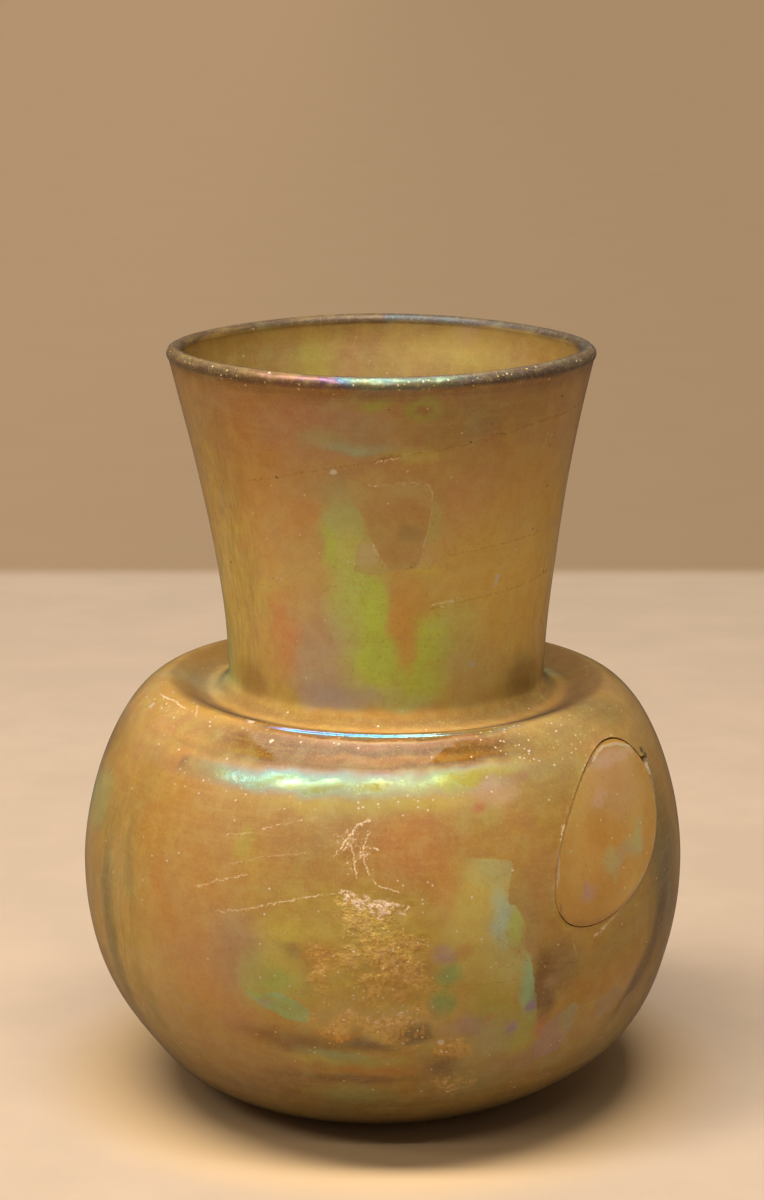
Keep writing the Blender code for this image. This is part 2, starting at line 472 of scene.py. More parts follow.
@dataclass
class OvalPiece:
    """The oval piece of wall set back in its hole."""

    wall: Wall
    azimuth: float = math.radians(49.8)
    rise: float = 0.0110
    length: float = 0.0282
    width: float = 0.0175
    roll: float = math.radians(42.3)
    bluntness: float = 0.12
    join_gap: float = 0.00011
    dish: float = 0.0004
    proud: float = 0.00025
    chip_depth: float = 0.0019
    chip_width: float = 0.0027
    chip_turn: float = math.radians(-24)
    cutter_reach: float = 0.0015
    edge_wear: float = 0.00015
    worn_share: float = 0.05
    steps: int = 192
    rings: int = 26

    def offset(self, turn: float, share: float, shrink: float, chipped: bool) -> Point:
        """Sideways and upward distances from the oval's middle, along the wall.

        Args:
            turn: Angle round the oval, in radians.
            share: Share of the way from its middle to its edge.
            shrink: How far the edge is drawn in.
            chipped: Whether the edge has the nick of the hole.

        Returns:
            The two distances.
        """
        half_length = self.length / 2 - shrink
        half_width = self.width / 2 - shrink
        along = half_length * math.cos(turn)
        across = half_width * math.sin(turn) * (1 + self.bluntness * math.cos(turn))
        if chipped:
            off = (turn - self.chip_turn + math.pi) % (2 * math.pi) - math.pi
            reach = abs(off) * half_length / self.chip_width
            along += self.chip_depth * (1 - ease(reach))
        sideways = along * math.cos(self.roll) - across * math.sin(self.roll)
        upward = along * math.sin(self.roll) + across * math.cos(self.roll)
        return sideways * share, upward * share

    def place(self, turn: float, share: float, depth: float, shrink: float, chipped: bool) -> Vector:
        """A point on a ring of the oval, at this depth below the wall's outer face."""
        sideways, upward = self.offset(turn, share, shrink, chipped)
        azimuth = self.azimuth + sideways / self.wall.at(self.rise, 0.0)[0]
        return self.wall.outline.handmade(azimuth, *self.wall.at(self.rise + upward, depth))

    def face_depth(self, turn: float, share: float) -> float:
        """How far the piece's outer face lies below the wall's."""
        return self.dish * (1 - share * share) + self.proud * math.sin(turn) * share

    def coin(self, rings: int) -> bmesh.types.BMesh:
        """A round plate of radius 1 from height 0 to 1, with rings on both faces.

        Args:
            rings: How many rings each face has.

        Returns:
            The plate, closed at both poles.
        """
        shape = bmesh.new()
        outline = [(ring / rings, 0.0) for ring in range(rings + 1)]
        outline += [(1 - ring / rings, 1.0) for ring in range(rings + 1)]
        spin_outline(shape, outline, self.steps)
        return shape

    def plate(self, rings: int, shrink: float, chipped: bool, depth: DepthRule) -> bmesh.types.BMesh:
        """A coin bent onto the wall between two depths.

        Args:
            rings: How many rings each face has.
            shrink: How far the edge is drawn in.
            chipped: Whether the edge has the nick of the hole.
            depth: Gives a point's depth from its turn, its share and its level, 0 outside and 1 inside.

        Returns:
            The plate in its place.
        """
        shape = self.coin(rings)
        for vert in shape.verts:
            turn = math.atan2(vert.co.y, vert.co.x)
            share = min(math.hypot(vert.co.x, vert.co.y), 1.0)
            vert.co = self.place(turn, share, depth(turn, share, vert.co.z), shrink, chipped)
        return shape

    def cutter(self) -> bpy.types.Object:
        """The solid that opens the piece's hole in the wall."""
        reach = self.cutter_reach
        through = self.wall.outline.body_wall + 2 * reach
        shape = self.plate(1, 0.0, True, lambda turn, share, level: level * through - reach)
        return new_object("oval_hole_cutter", shape)

    def build(self) -> bpy.types.Object:
        """The piece itself, dished, with worn edges."""
        shape = self.plate(self.rings, self.join_gap, False, self.depth)
        return new_object("oval_patch_glass", shape)

    def depth(self, turn: float, share: float, level: float) -> float:
        """Depth of a point of the piece, its outer edge worn round."""
        rim = ease((share - 1 + self.worn_share) / self.worn_share)
        worn = self.edge_wear * rim * (1 - level)
        return self.face_depth(turn, share) + self.wall.outline.body_wall * level + worn


@dataclass
class Bottle:
    """The blown vessel: base, body, shoulder, neck and lip in one piece."""

    wall: Wall
    oval: OvalPiece
    columns: int = 296
    front_gather: float = 0.45

    def spin(self) -> bmesh.types.BMesh:
        """The true turned form, its columns gathered towards the front, moved to its handmade form."""
        outline = self.wall.outline
        chain = [(s.radius, s.height) for s in self.wall.stations] + outline.lip() + self.wall.inner()
        shape = bmesh.new()
        spin_outline(shape, chain, self.columns)
        for vert in shape.verts:
            azimuth = math.atan2(vert.co.x, -vert.co.y)
            azimuth -= self.front_gather * math.sin(azimuth)
            vert.co = outline.handmade(azimuth, math.hypot(vert.co.x, vert.co.y), vert.co.z)
        return shape

    def open_hole(self, made: bpy.types.Object) -> None:
        """Cuts the oval hole and keeps the result as the object's own mesh."""
        cutter = self.oval.cutter()
        hole = made.modifiers.new("oval hole", "BOOLEAN")
        hole.operation = "DIFFERENCE"
        hole.solver = "EXACT"
        hole.object = cutter
        graph = bpy.context.evaluated_depsgraph_get()
        whole = made.data
        made.data = bpy.data.meshes.new_from_object(made.evaluated_get(graph))
        made.modifiers.clear()
        bpy.data.meshes.remove(whole)
        bpy.data.objects.remove(cutter)
        made.data.name = made.name
        made.data.shade_smooth()
        made.data.set_sharp_from_angle(angle=SHARP_ANGLE)

    def build(self) -> bpy.types.Object:
        """The whole vessel with its hole."""
        made = new_object("bottle_glass", self.spin())
        self.open_hole(made)
        return made


class Canvas:
    """Where every vertex of a piece lies on the wall, and the paints it is given."""

    def __init__(self, made: bpy.types.Object, wall: Wall) -> None:
        """Unrolls the piece's vertices onto the wall.

        Args:
            made: The piece.
            wall: The wall it belongs to.
        """
        self.mesh = made.data
        self.wall = wall
        flat = np.empty(3 * len(self.mesh.vertices))
        self.mesh.vertices.foreach_get("co", flat)
        self.places = flat.reshape(-1, 3)
        heights = np.linspace(0.0, wall.outline.total_height, 240)
        sways = [wall.outline.sway(height) for height in heights]
        rightward = self.places[:, 0] - np.interp(self.places[:, 2], heights, sways)
        forward = -self.places[:, 1]
        radii = np.hypot(rightward, forward)
        self.azimuths = np.degrees(np.arctan2(rightward, forward))
        self.rises, self.depths = wall.unroll(radii, self.places[:, 2])
        self.degree = np.maximum(radii / MM, 1.0) * math.pi / 180
        self.outside = eased((SKIN_DEPTH - self.depths) / SKIN_FADE)
        self.warp = (self.cloud(4.0, 1), self.cloud(4.0, 2))
        self.fray = (self.cloud(1.6, 3, 2), self.cloud(1.6, 4, 2))

    def cloud(self, size: float, seed: int, octaves: int = 3, flatten: float = 1.0) -> np.ndarray:
        """Soft noise from about -1 to 1.

        Args:
            size: Width of its lumps, in millimetres.
            seed: Picks the pattern.
            octaves: How many finer patterns are added.
            flatten: How many times lower than wide a lump is.

        Returns:
            One value for each vertex.
        """
        shift = np.array(CLOUD_SHIFT) * seed
        spots = self.places / (size * MM) * np.array([1.0, 1.0, flatten]) + shift
        return np.array([noise.fractal(spot, 1.0, 2.0, octaves) for spot in spots.tolist()])

    def apart(self, azimuth: float, rise: float) -> tuple[np.ndarray, np.ndarray]:
        """How far each vertex lies to the right of a place and above it, in millimetres of wall."""
        turn = (self.azimuths - azimuth + 180) % 360 - 180
        return turn * self.degree, self.rises - rise

    def route(self, corners: tuple[Point, ...], azimuth: float, rise: float) -> list[Point]:
        """How far corners lie to the right of a place and above it, in millimetres of wall."""
        spots = []
        for corner in corners:
            degree = self.wall.at(corner[1] * MM, 0.0)[0] / MM * math.pi / 180
            spots.append(((corner[0] - azimuth) * degree, corner[1] - rise))
        return spots

    def face(self, side: Side) -> np.ndarray:
        """1 on the vertices of one face of the wall and 0 on the other's."""
        return self.outside if side is Side.OUTER else 1 - self.outside

    def layer(self, paint: Tone) -> np.ndarray:
        """A coat of one paint over the whole piece."""
        return np.tile(np.array(paint.colour), (len(self.places), 1))

    def keep(self, name: str, values: np.ndarray) -> None:
        """Stores a layer on the mesh for the finish to read.

        Args:
            name: The attribute's name.
            values: One number, three numbers or one colour for each vertex.
        """
        kinds = {1: ("FLOAT", "value"), 3: ("FLOAT_VECTOR", "vector"), 4: ("FLOAT_COLOR", "color")}
        kind, field = kinds[1 if values.ndim == 1 else values.shape[1]]
        stored = self.mesh.attributes.new(name, kind, "POINT")
        stored.data.foreach_set(field, np.ascontiguousarray(values, dtype=np.float32).ravel())


class Mark:
    """Something that lies on the glass and may be brushed on in a paint."""

    paint: Tone

    def cover(self, canvas: Canvas) -> np.ndarray:
        """How strongly the mark covers each vertex, from 0 to 1."""
        raise NotImplementedError

    def brush(self, canvas: Canvas, layer: np.ndarray) -> None:
        """Lays the mark on a layer of colour."""
        layer += (np.array(self.paint.colour) - layer) * self.cover(canvas)[:, None]


@dataclass(frozen=True)
class Stain(Mark):
    """A soft patch of one paint.

    Its sizes are half-widths in millimetres and its roll is in degrees. Crust, bloom, streaks, sparks
    and shine take only its cover; their own paint is the finish's.
    """

    name: str
    azimuth: float
    rise: float
    across: float
    along: float
    paint: Tone
    strength: float = 0.7
    roll: float = 0.0
    softness: float = 0.6
    ragged: float = 0.9
    side: Side = Side.OUTER

    def cover(self, canvas: Canvas) -> np.ndarray:
        """How strongly the stain covers each vertex, from 0 to 1."""
        sideways, upward = canvas.apart(self.azimuth, self.rise)
        sideways = sideways + canvas.warp[0] * self.ragged
        upward = upward + canvas.warp[1] * self.ragged
        turn = math.radians(self.roll)
        along_roll = sideways * math.cos(turn) + upward * math.sin(turn)
        across_roll = upward * math.cos(turn) - sideways * math.sin(turn)
        reach = np.hypot(along_roll / self.across, across_roll / self.along)
        inside = eased((1 + self.softness - reach) / (2 * self.softness))
        return self.strength * inside * canvas.face(self.side)


@dataclass(frozen=True)
class Band(Mark):
    """A soft ring of one paint all round, between two rises."""

    name: str
    low: float
    high: float
    paint: Tone
    strength: float
    soft: float = 1.0
    side: Side = Side.OUTER

    def cover(self, canvas: Canvas) -> np.ndarray:
        """How strongly the band covers each vertex, from 0 to 1."""
        rises = canvas.rises + canvas.warp[1] * 0.25 * self.soft
        up = eased((rises - self.low) / self.soft + 0.5)
        down = eased((self.high - rises) / self.soft + 0.5)
        return self.strength * up * down * canvas.face(self.side)


@dataclass(frozen=True)
class Mottle(Mark):
    """Clouds of one paint all over. Its size is in millimetres and its seed picks the pattern."""

    size: float
    seed: int
    paint: Tone
    strength: float
    level: float = 0.5
    contrast: float = 0.9

    def cover(self, canvas: Canvas) -> np.ndarray:
        """How strongly the clouds cover each vertex, from 0 to 1."""
        return self.strength * eased(self.level + self.contrast * canvas.cloud(self.size, self.seed))


@dataclass(frozen=True)
class Hue:
    """The film's thickness at some azimuths of a ring, whose middle and half-height are rises."""

    name: str
    middle: float
    half: float
    azimuths: tuple[float, ...]
    nanometres: tuple[float, ...]

    def lay(self, canvas: Canvas, depth: np.ndarray, fine: np.ndarray) -> None:
        """Sets the ring's thickness.

        Args:
            canvas: The piece's canvas.
            depth: The film's thickness so far.
            fine: Fine changes to add to the ring's own thickness.
        """
        azimuths = canvas.azimuths + 6 * canvas.warp[0]
        wanted = np.interp(azimuths, self.azimuths, self.nanometres) + fine
        share = eased((1.55 - np.abs(canvas.rises - self.middle) / self.half) / 0.9)
        depth += (wanted - depth) * share


@dataclass(frozen=True)
class Flake:
    """A patch of film with a crisp edge. Its corners are azimuths and rises."""

    name: str
    corners: tuple[Point, ...]
    paints: tuple[Stain, ...]
    frayed: float = 0.35

    def middle(self) -> Point:
        """The middle of the corners."""
        count = len(self.corners)
        return sum(c[0] for c in self.corners) / count, sum(c[1] for c in self.corners) / count

    def reach(self, canvas: Canvas) -> np.ndarray:
        """How far each vertex lies inside the edge, in millimetres; negative outside."""
        azimuth, rise = self.middle()
        sideways, upward = canvas.apart(azimuth, rise)
        sideways = sideways + canvas.fray[0] * self.frayed
        upward = upward + canvas.fray[1] * self.frayed
        offsets = canvas.route(self.corners, azimuth, rise)
        nearest = np.full(len(sideways), UNREACHED)
        inside = np.zeros(len(sideways), dtype=bool)
        for start, end in zip(offsets, offsets[1:] + offsets[:1]):
            way = (end[0] - start[0], end[1] - start[1])
            gap_u, gap_v = sideways - start[0], upward - start[1]
            share = np.clip((gap_u * way[0] + gap_v * way[1]) / (way[0] ** 2 + way[1] ** 2), 0, 1)
            nearest = np.minimum(nearest, np.hypot(gap_u - way[0] * share, gap_v - way[1] * share))
            if way[1]:
                spans = (start[1] > upward) != (end[1] > upward)
                inside ^= spans & (sideways < start[0] + way[0] * gap_v / way[1])
        signed = np.where(inside, nearest, -nearest)
        return np.where(canvas.outside > 0.5, signed, -UNREACHED)

    def lay(self, canvas: Canvas, film: np.ndarray, edge: np.ndarray) -> None:
        """Paints the patch into the film layer and adds its edge.

        Args:
            canvas: The piece's canvas.
            film: The film layer.
            edge: How far each vertex lies inside the nearest patch so far.
        """
        reach = self.reach(canvas)
        near = (reach > -FLAKE_REACH) & (reach > edge)
        fresh = film.copy()
        for stain in self.paints:
            stain.brush(canvas, fresh)
        film[near] = fresh[near]
        np.maximum(edge, reach, out=edge)


@dataclass(frozen=True)
class Line:
    """A fine line along a route of azimuths and rises; its width is half the line's, in millimetres."""

    name: str
    route: tuple[Point, ...]
    width: float
    pale: float
    layer: int = 0

    def lay(self, canvas: Canvas, lines: np.ndarray) -> None:
        """Adds the line to its set.

        Args:
            canvas: The piece's canvas.
            lines: For each vertex its signed distance from the set's nearest line, that line's width
                and how pale it is.
        """
        azimuth, rise = self.route[0]
        sideways, upward = canvas.apart(azimuth, rise)
        spots = canvas.route(self.route, azimuth, rise)
        best = np.full(len(sideways), UNREACHED)
        signed = np.zeros(len(sideways))
        over = np.zeros(len(sideways))
        for start, end in zip(spots, spots[1:]):
            length = math.hypot(end[0] - start[0], end[1] - start[1])
            way = ((end[0] - start[0]) / length, (end[1] - start[1]) / length)
            gap_u, gap_v = sideways - start[0], upward - start[1]
            along = gap_u * way[0] + gap_v * way[1]
            across = gap_v * way[0] - gap_u * way[1]
            beyond = np.maximum(np.maximum(-along, along - length), 0)
            distance = np.hypot(across, beyond)
            nearer = distance < best
            best = np.where(nearer, distance, best)
            signed = np.where(nearer, across, signed)
            over = np.where(nearer, beyond, over)
        live = eased(1 - over / LINE_TIP) * eased((LINE_REACH - best) / LINE_FADE)
        live *= canvas.outside > 0.5
        near = (best < LINE_REACH) & (best < np.abs(lines[:, 0]))
        lines[near, 0] = signed[near]
        lines[near, 1] = (self.width * live)[near]
        lines[near, 2] = self.pale


@dataclass(frozen=True)
class Dot:
    """A seed in the glass or a fleck on it: its place, its radius in millimetres and how pale it is."""

    azimuth: float
    rise: float
    radius: float
    pale: float = 0.0

    def lay(self, canvas: Canvas, dots: np.ndarray, tints: np.ndarray) -> None:
        """Adds the dot to the set of dots."""
        sideways, upward = canvas.apart(self.azimuth, self.rise)
        distance = np.hypot(sideways, upward)
        near = (distance < DOT_REACH) & (distance < np.hypot(dots[:, 0], dots[:, 1]))
        near &= canvas.outside > 0.5
        dots[near, 0] = sideways[near]
        dots[near, 1] = upward[near]
        dots[near, 2] = self.radius * eased((DOT_REACH - distance[near]) / DOT_FADE)
        tints[near] = self.pale


def strongest(canvas: Canvas, marks: tuple[Mark, ...]) -> np.ndarray:
    """The strongest cover of some marks at each vertex."""
    return np.max([mark.cover(canvas) for mark in marks], axis=0)


def keep_lines(canvas: Canvas, lines: tuple[Line, ...], sets: int) -> None:
    """Stores fine lines in sets, so that lines of different sets may cross.

    Args:
        canvas: The piece's canvas.
        lines: The lines.
        sets: How many sets there are.
    """
    for number in range(sets):
        drawn = np.zeros((len(canvas.places), 3))
        drawn[:, 0] = FAR
        for line in lines:
            if line.layer == number:
                line.lay(canvas, drawn)
        canvas.keep(f"lines_{number}", drawn)


NECK_STAINS = (
    Stain("deep amber at the upper left", -40, 75, 9, 7, Tone.DEEP_AMBER, 0.55),
    Stain("orange under the lip, left", -36, 76, 6, 4, Tone.ORANGE, 0.45),
    Stain("orange left flank", -38, 66, 6, 7, Tone.ORANGE, 0.4),
    Stain("ochre left edge", -70, 62, 6, 22, Tone.PALE_AMBER, 0.45),
    Stain("rose under the lip", -17, 77, 7, 4.5, Tone.ROSE, 0.55),
    Stain("stone grey cloud", -7, 76.3, 5, 2.4, Tone.STONE, 0.8),
    Stain("sage streak above", -16, 75, 3.5, 1.4, Tone.SAGE, 0.5),
    Stain("cool streak", -6, 74.2, 4.5, 0.8, Tone.CYAN, 0.45, 2),
    Stain("straw streak", 10, 73.4, 3.5, 1.1, Tone.STRAW, 0.7, -8),
    Stain("amber run under the streak", 8, 71.8, 4, 1.0, Tone.ORANGE, 0.4),
    Stain("lime dab under the lip", -1, 79.9, 2.2, 0.8, Tone.LIME, 0.9, 4),
    Stain("lime haze under the lip", -4, 80.3, 4.5, 1.2, Tone.LIME, 0.3),
    Stain("lime ring", 11, 79.2, 2.4, 1.5, Tone.LIME, 0.85, 0, 0.35, 0.5),
    Stain("brown heart of the ring", 11.4, 79.2, 1.2, 0.7, Tone.DEEP_AMBER, 0.9, 0, 0.35, 0.4),
    Stain("olive right of the ring", 21, 77.5, 6, 3, Tone.OLIVE, 0.45),
    Stain("olive shade at the upper right", 40, 78, 8, 4, Tone.OLIVE, 0.4),
    Stain("rose right of the shield", 25, 66, 3, 4, Tone.ROSE, 0.5),
    Stain("mauve right flank", 29, 62, 7, 10, Tone.MAUVE, 0.6),
    Stain("amber right edge", 52, 62, 7, 16, Tone.AMBER, 0.5),
    Stain("ochre right edge", 72, 64, 5, 18, Tone.PALE_AMBER, 0.4),
    Stain("mauve left flank", -27, 60, 8, 8, Tone.MAUVE, 0.6),
    Stain("orange glow", -22, 64.5, 4.5, 2.6, Tone.ORANGE, 0.5, 20),
    Stain("sage fall", -11.5, 61.5, 3.0, 7, Tone.SAGE, 0.95, 8, 0.45),
    Stain("straw heart of the fall", -10, 58.8, 2, 3, Tone.STRAW, 0.6, 10),
    Stain("lime edge of the fall", -17, 60.3, 0.9, 2.4, Tone.LIME, 0.7, 0, 0.5),
    Stain("stone above the fall", -14, 68, 2.6, 2.5, Tone.STONE, 0.6),
    Stain("sage beside the shield", 14.5, 62, 1.2, 5, Tone.SAGE, 0.6, -8),
    Stain("rose by the shield's foot", 15, 60, 1.4, 1.8, Tone.ROSE, 0.6),
    Stain("straw under the shield", 12, 57.2, 2.2, 1.0, Tone.STRAW, 0.65),
    Stain("orange under the shield", 6, 54, 2.6, 4.5, Tone.ORANGE, 0.55),
    Stain("sage left of the lobe", -11, 50, 3, 8, Tone.SAGE, 0.85),
    Stain("green over the sage", -11, 50, 3, 8, Tone.LIME, 0.5),
    Stain("pale amber right of the lobes", 34, 56, 9, 9, Tone.PALE_AMBER, 0.45),
    Stain("left lime lobe", -3.5, 52, 1.8, 4, Tone.LIME, 0.8, 6, 0.5),
    Stain("left lime lobe, low", -2.5, 45, 2.6, 4.5, Tone.LIME, 0.85, 0, 0.5),
    Stain("right lime lobe", 15, 47, 3, 3.6, Tone.LIME, 0.85, 12, 0.5),
    Stain("right lime lobe, low", 12, 42.5, 3.6, 2.8, Tone.LIME, 0.8, 0, 0.5),
    Stain("sage right of the lobes", 24, 49, 3.5, 3.5, Tone.SAGE, 0.45),
    Stain("orange between the lobes", 6, 48, 1.7, 4.5, Tone.ORANGE, 0.7, 6, 0.5),
    Stain("green grey under the lobes", 2, 39.5, 5, 1.5, Tone.SAGE, 0.7),
    Stain("stone at the lower right", 30, 43, 5, 4.5, Tone.STONE, 0.6),
    Stain("mauve above the violet", -24, 50, 5, 4, Tone.LILAC, 0.4),
    Stain("lilac at the lower left", -25, 44.5, 4.5, 4.5, Tone.LILAC, 0.8),
    Stain("violet foot", -19, 40.0, 4.5, 1.8, Tone.VIOLET, 0.6, 6),
    Stain("violet foot, right", -8, 39.6, 2.5, 1.3, Tone.LILAC, 0.6),
    Stain("coral at the lower left", -38, 47.5, 2.4, 4.5, Tone.CORAL, 0.7),
    Stain("mauve left of the coral", -46, 46, 4, 6, Tone.MAUVE, 0.35),
    Stain("brown foot, right", 57, 40, 4.5, 3.2, Tone.UMBER, 0.6),
    Stain("brown foot, left", -56, 40, 3.5, 3.2, Tone.BROWN, 0.6),
    Stain("orange foot", 0, 37.6, 9, 0.7, Tone.ORANGE, 0.5),
)

SHOULDER_STAINS = (
    # The brown and umber at the front of the crest and shelf, and the umber line over the shine, are
    # partly the glass's own brown and partly painted shade that holds down the key lamp's light on these
    # up-facing rings.
    Stain("brown crest at the front", -2, 26.0, 21, 2.9, Tone.BROWN, 0.85, 0, 0.4, 0.4),
    Stain("brown line over the shine", -6, 23.4, 27, 0.8, Tone.UMBER, 0.45, 1, 0.5, 0.4),
    Stain("brown shelf at the front", -2, 31.5, 28, 2.8, Tone.BROWN, 0.75, 0, 0.4, 0.4),
    Stain("umber crest at the front", -2, 25.6, 26, 2.3, Tone.UMBER, 0.5, 0, 0.5, 0.4),
    Stain("umber shelf at the front", -2, 31.8, 30, 2.6, Tone.UMBER, 0.62, 0, 0.5, 0.4),
    Stain("rose above the shine", 0, 26.9, 16, 0.7, Tone.ROSE, 0.3),
    Stain("orange above the shine", 2, 24.2, 11, 0.8, Tone.ORANGE, 0.5, 0, 0.5),
    # The mint, green, straw and lime along the shine and in the haze below it are partly the film's
    # iridescent colour and partly the shoulder's highlight painted into the glass's colour.
    Stain("mint in the shine, left", -30, 20.7, 6, 1.2, Tone.MINT, 0.4),
    Stain("mint in the shine", -12, 20.8, 8, 1.4, Tone.GREEN, 0.5),
    Stain("straw in the shine", 4, 21.0, 7, 1.4, Tone.STRAW, 0.75),
    Stain("green in the shine", 13, 21.4, 4, 1.1, Tone.LIME, 0.6),
    Stain("straw tail of the shine", 23, 22.0, 5, 0.9, Tone.STRAW, 0.6, 8),
    Stain("lime haze, left", -20, 18.2, 8, 1.3, Tone.STRAW, 0.3),
    Stain("lime haze, middle", -2, 18.2, 7, 1.4, Tone.LIME, 0.35),
    Stain("lime haze, right", 10, 18.6, 5, 1.3, Tone.STRAW, 0.5),
    Stain("rose right of the haze", 22.5, 19.2, 2.8, 1.6, Tone.BLUSH, 0.65),
    Stain("sage under the rose", 18, 16.4, 3, 1.2, Tone.SAGE, 0.4),
    Stain("orange dab", 28.5, 21.2, 1.4, 0.7, Tone.CORAL, 0.6),
    Stain("red dab", 18.5, 17.3, 0.9, 0.7, Tone.CORAL, 0.8, 30, 0.5, 0.5),
    Stain("orange dabs, far left", -49, 21, 2.6, 1.4, Tone.ORANGE, 0.7, 10),
    Stain("brown dab, far left", -47, 20.4, 1.0, 0.6, Tone.BROWN, 0.7, 20),
    Stain("orange left of the shine", -41, 16, 4, 4, Tone.ORANGE, 0.35),
    Stain("mauve left shoulder", -34, 14, 5, 5, Tone.MAUVE, 0.5),
    Stain("olive right shoulder", 36, 21, 6, 4, Tone.OLIVE, 0.5),
    Stain("olive right crest", 44, 27, 8, 3, Tone.OLIVE, 0.55, -10),
    Stain("moss right crest", 62, 27, 5, 2.5, Tone.MOSS, 0.6, -18),
    Stain("moss streak by the neck", 34, 29, 6, 0.8, Tone.MOSS, 0.5, 6),
    Stain("amber behind, left", -62, 31, 10, 5, Tone.AMBER, 0.5),
)

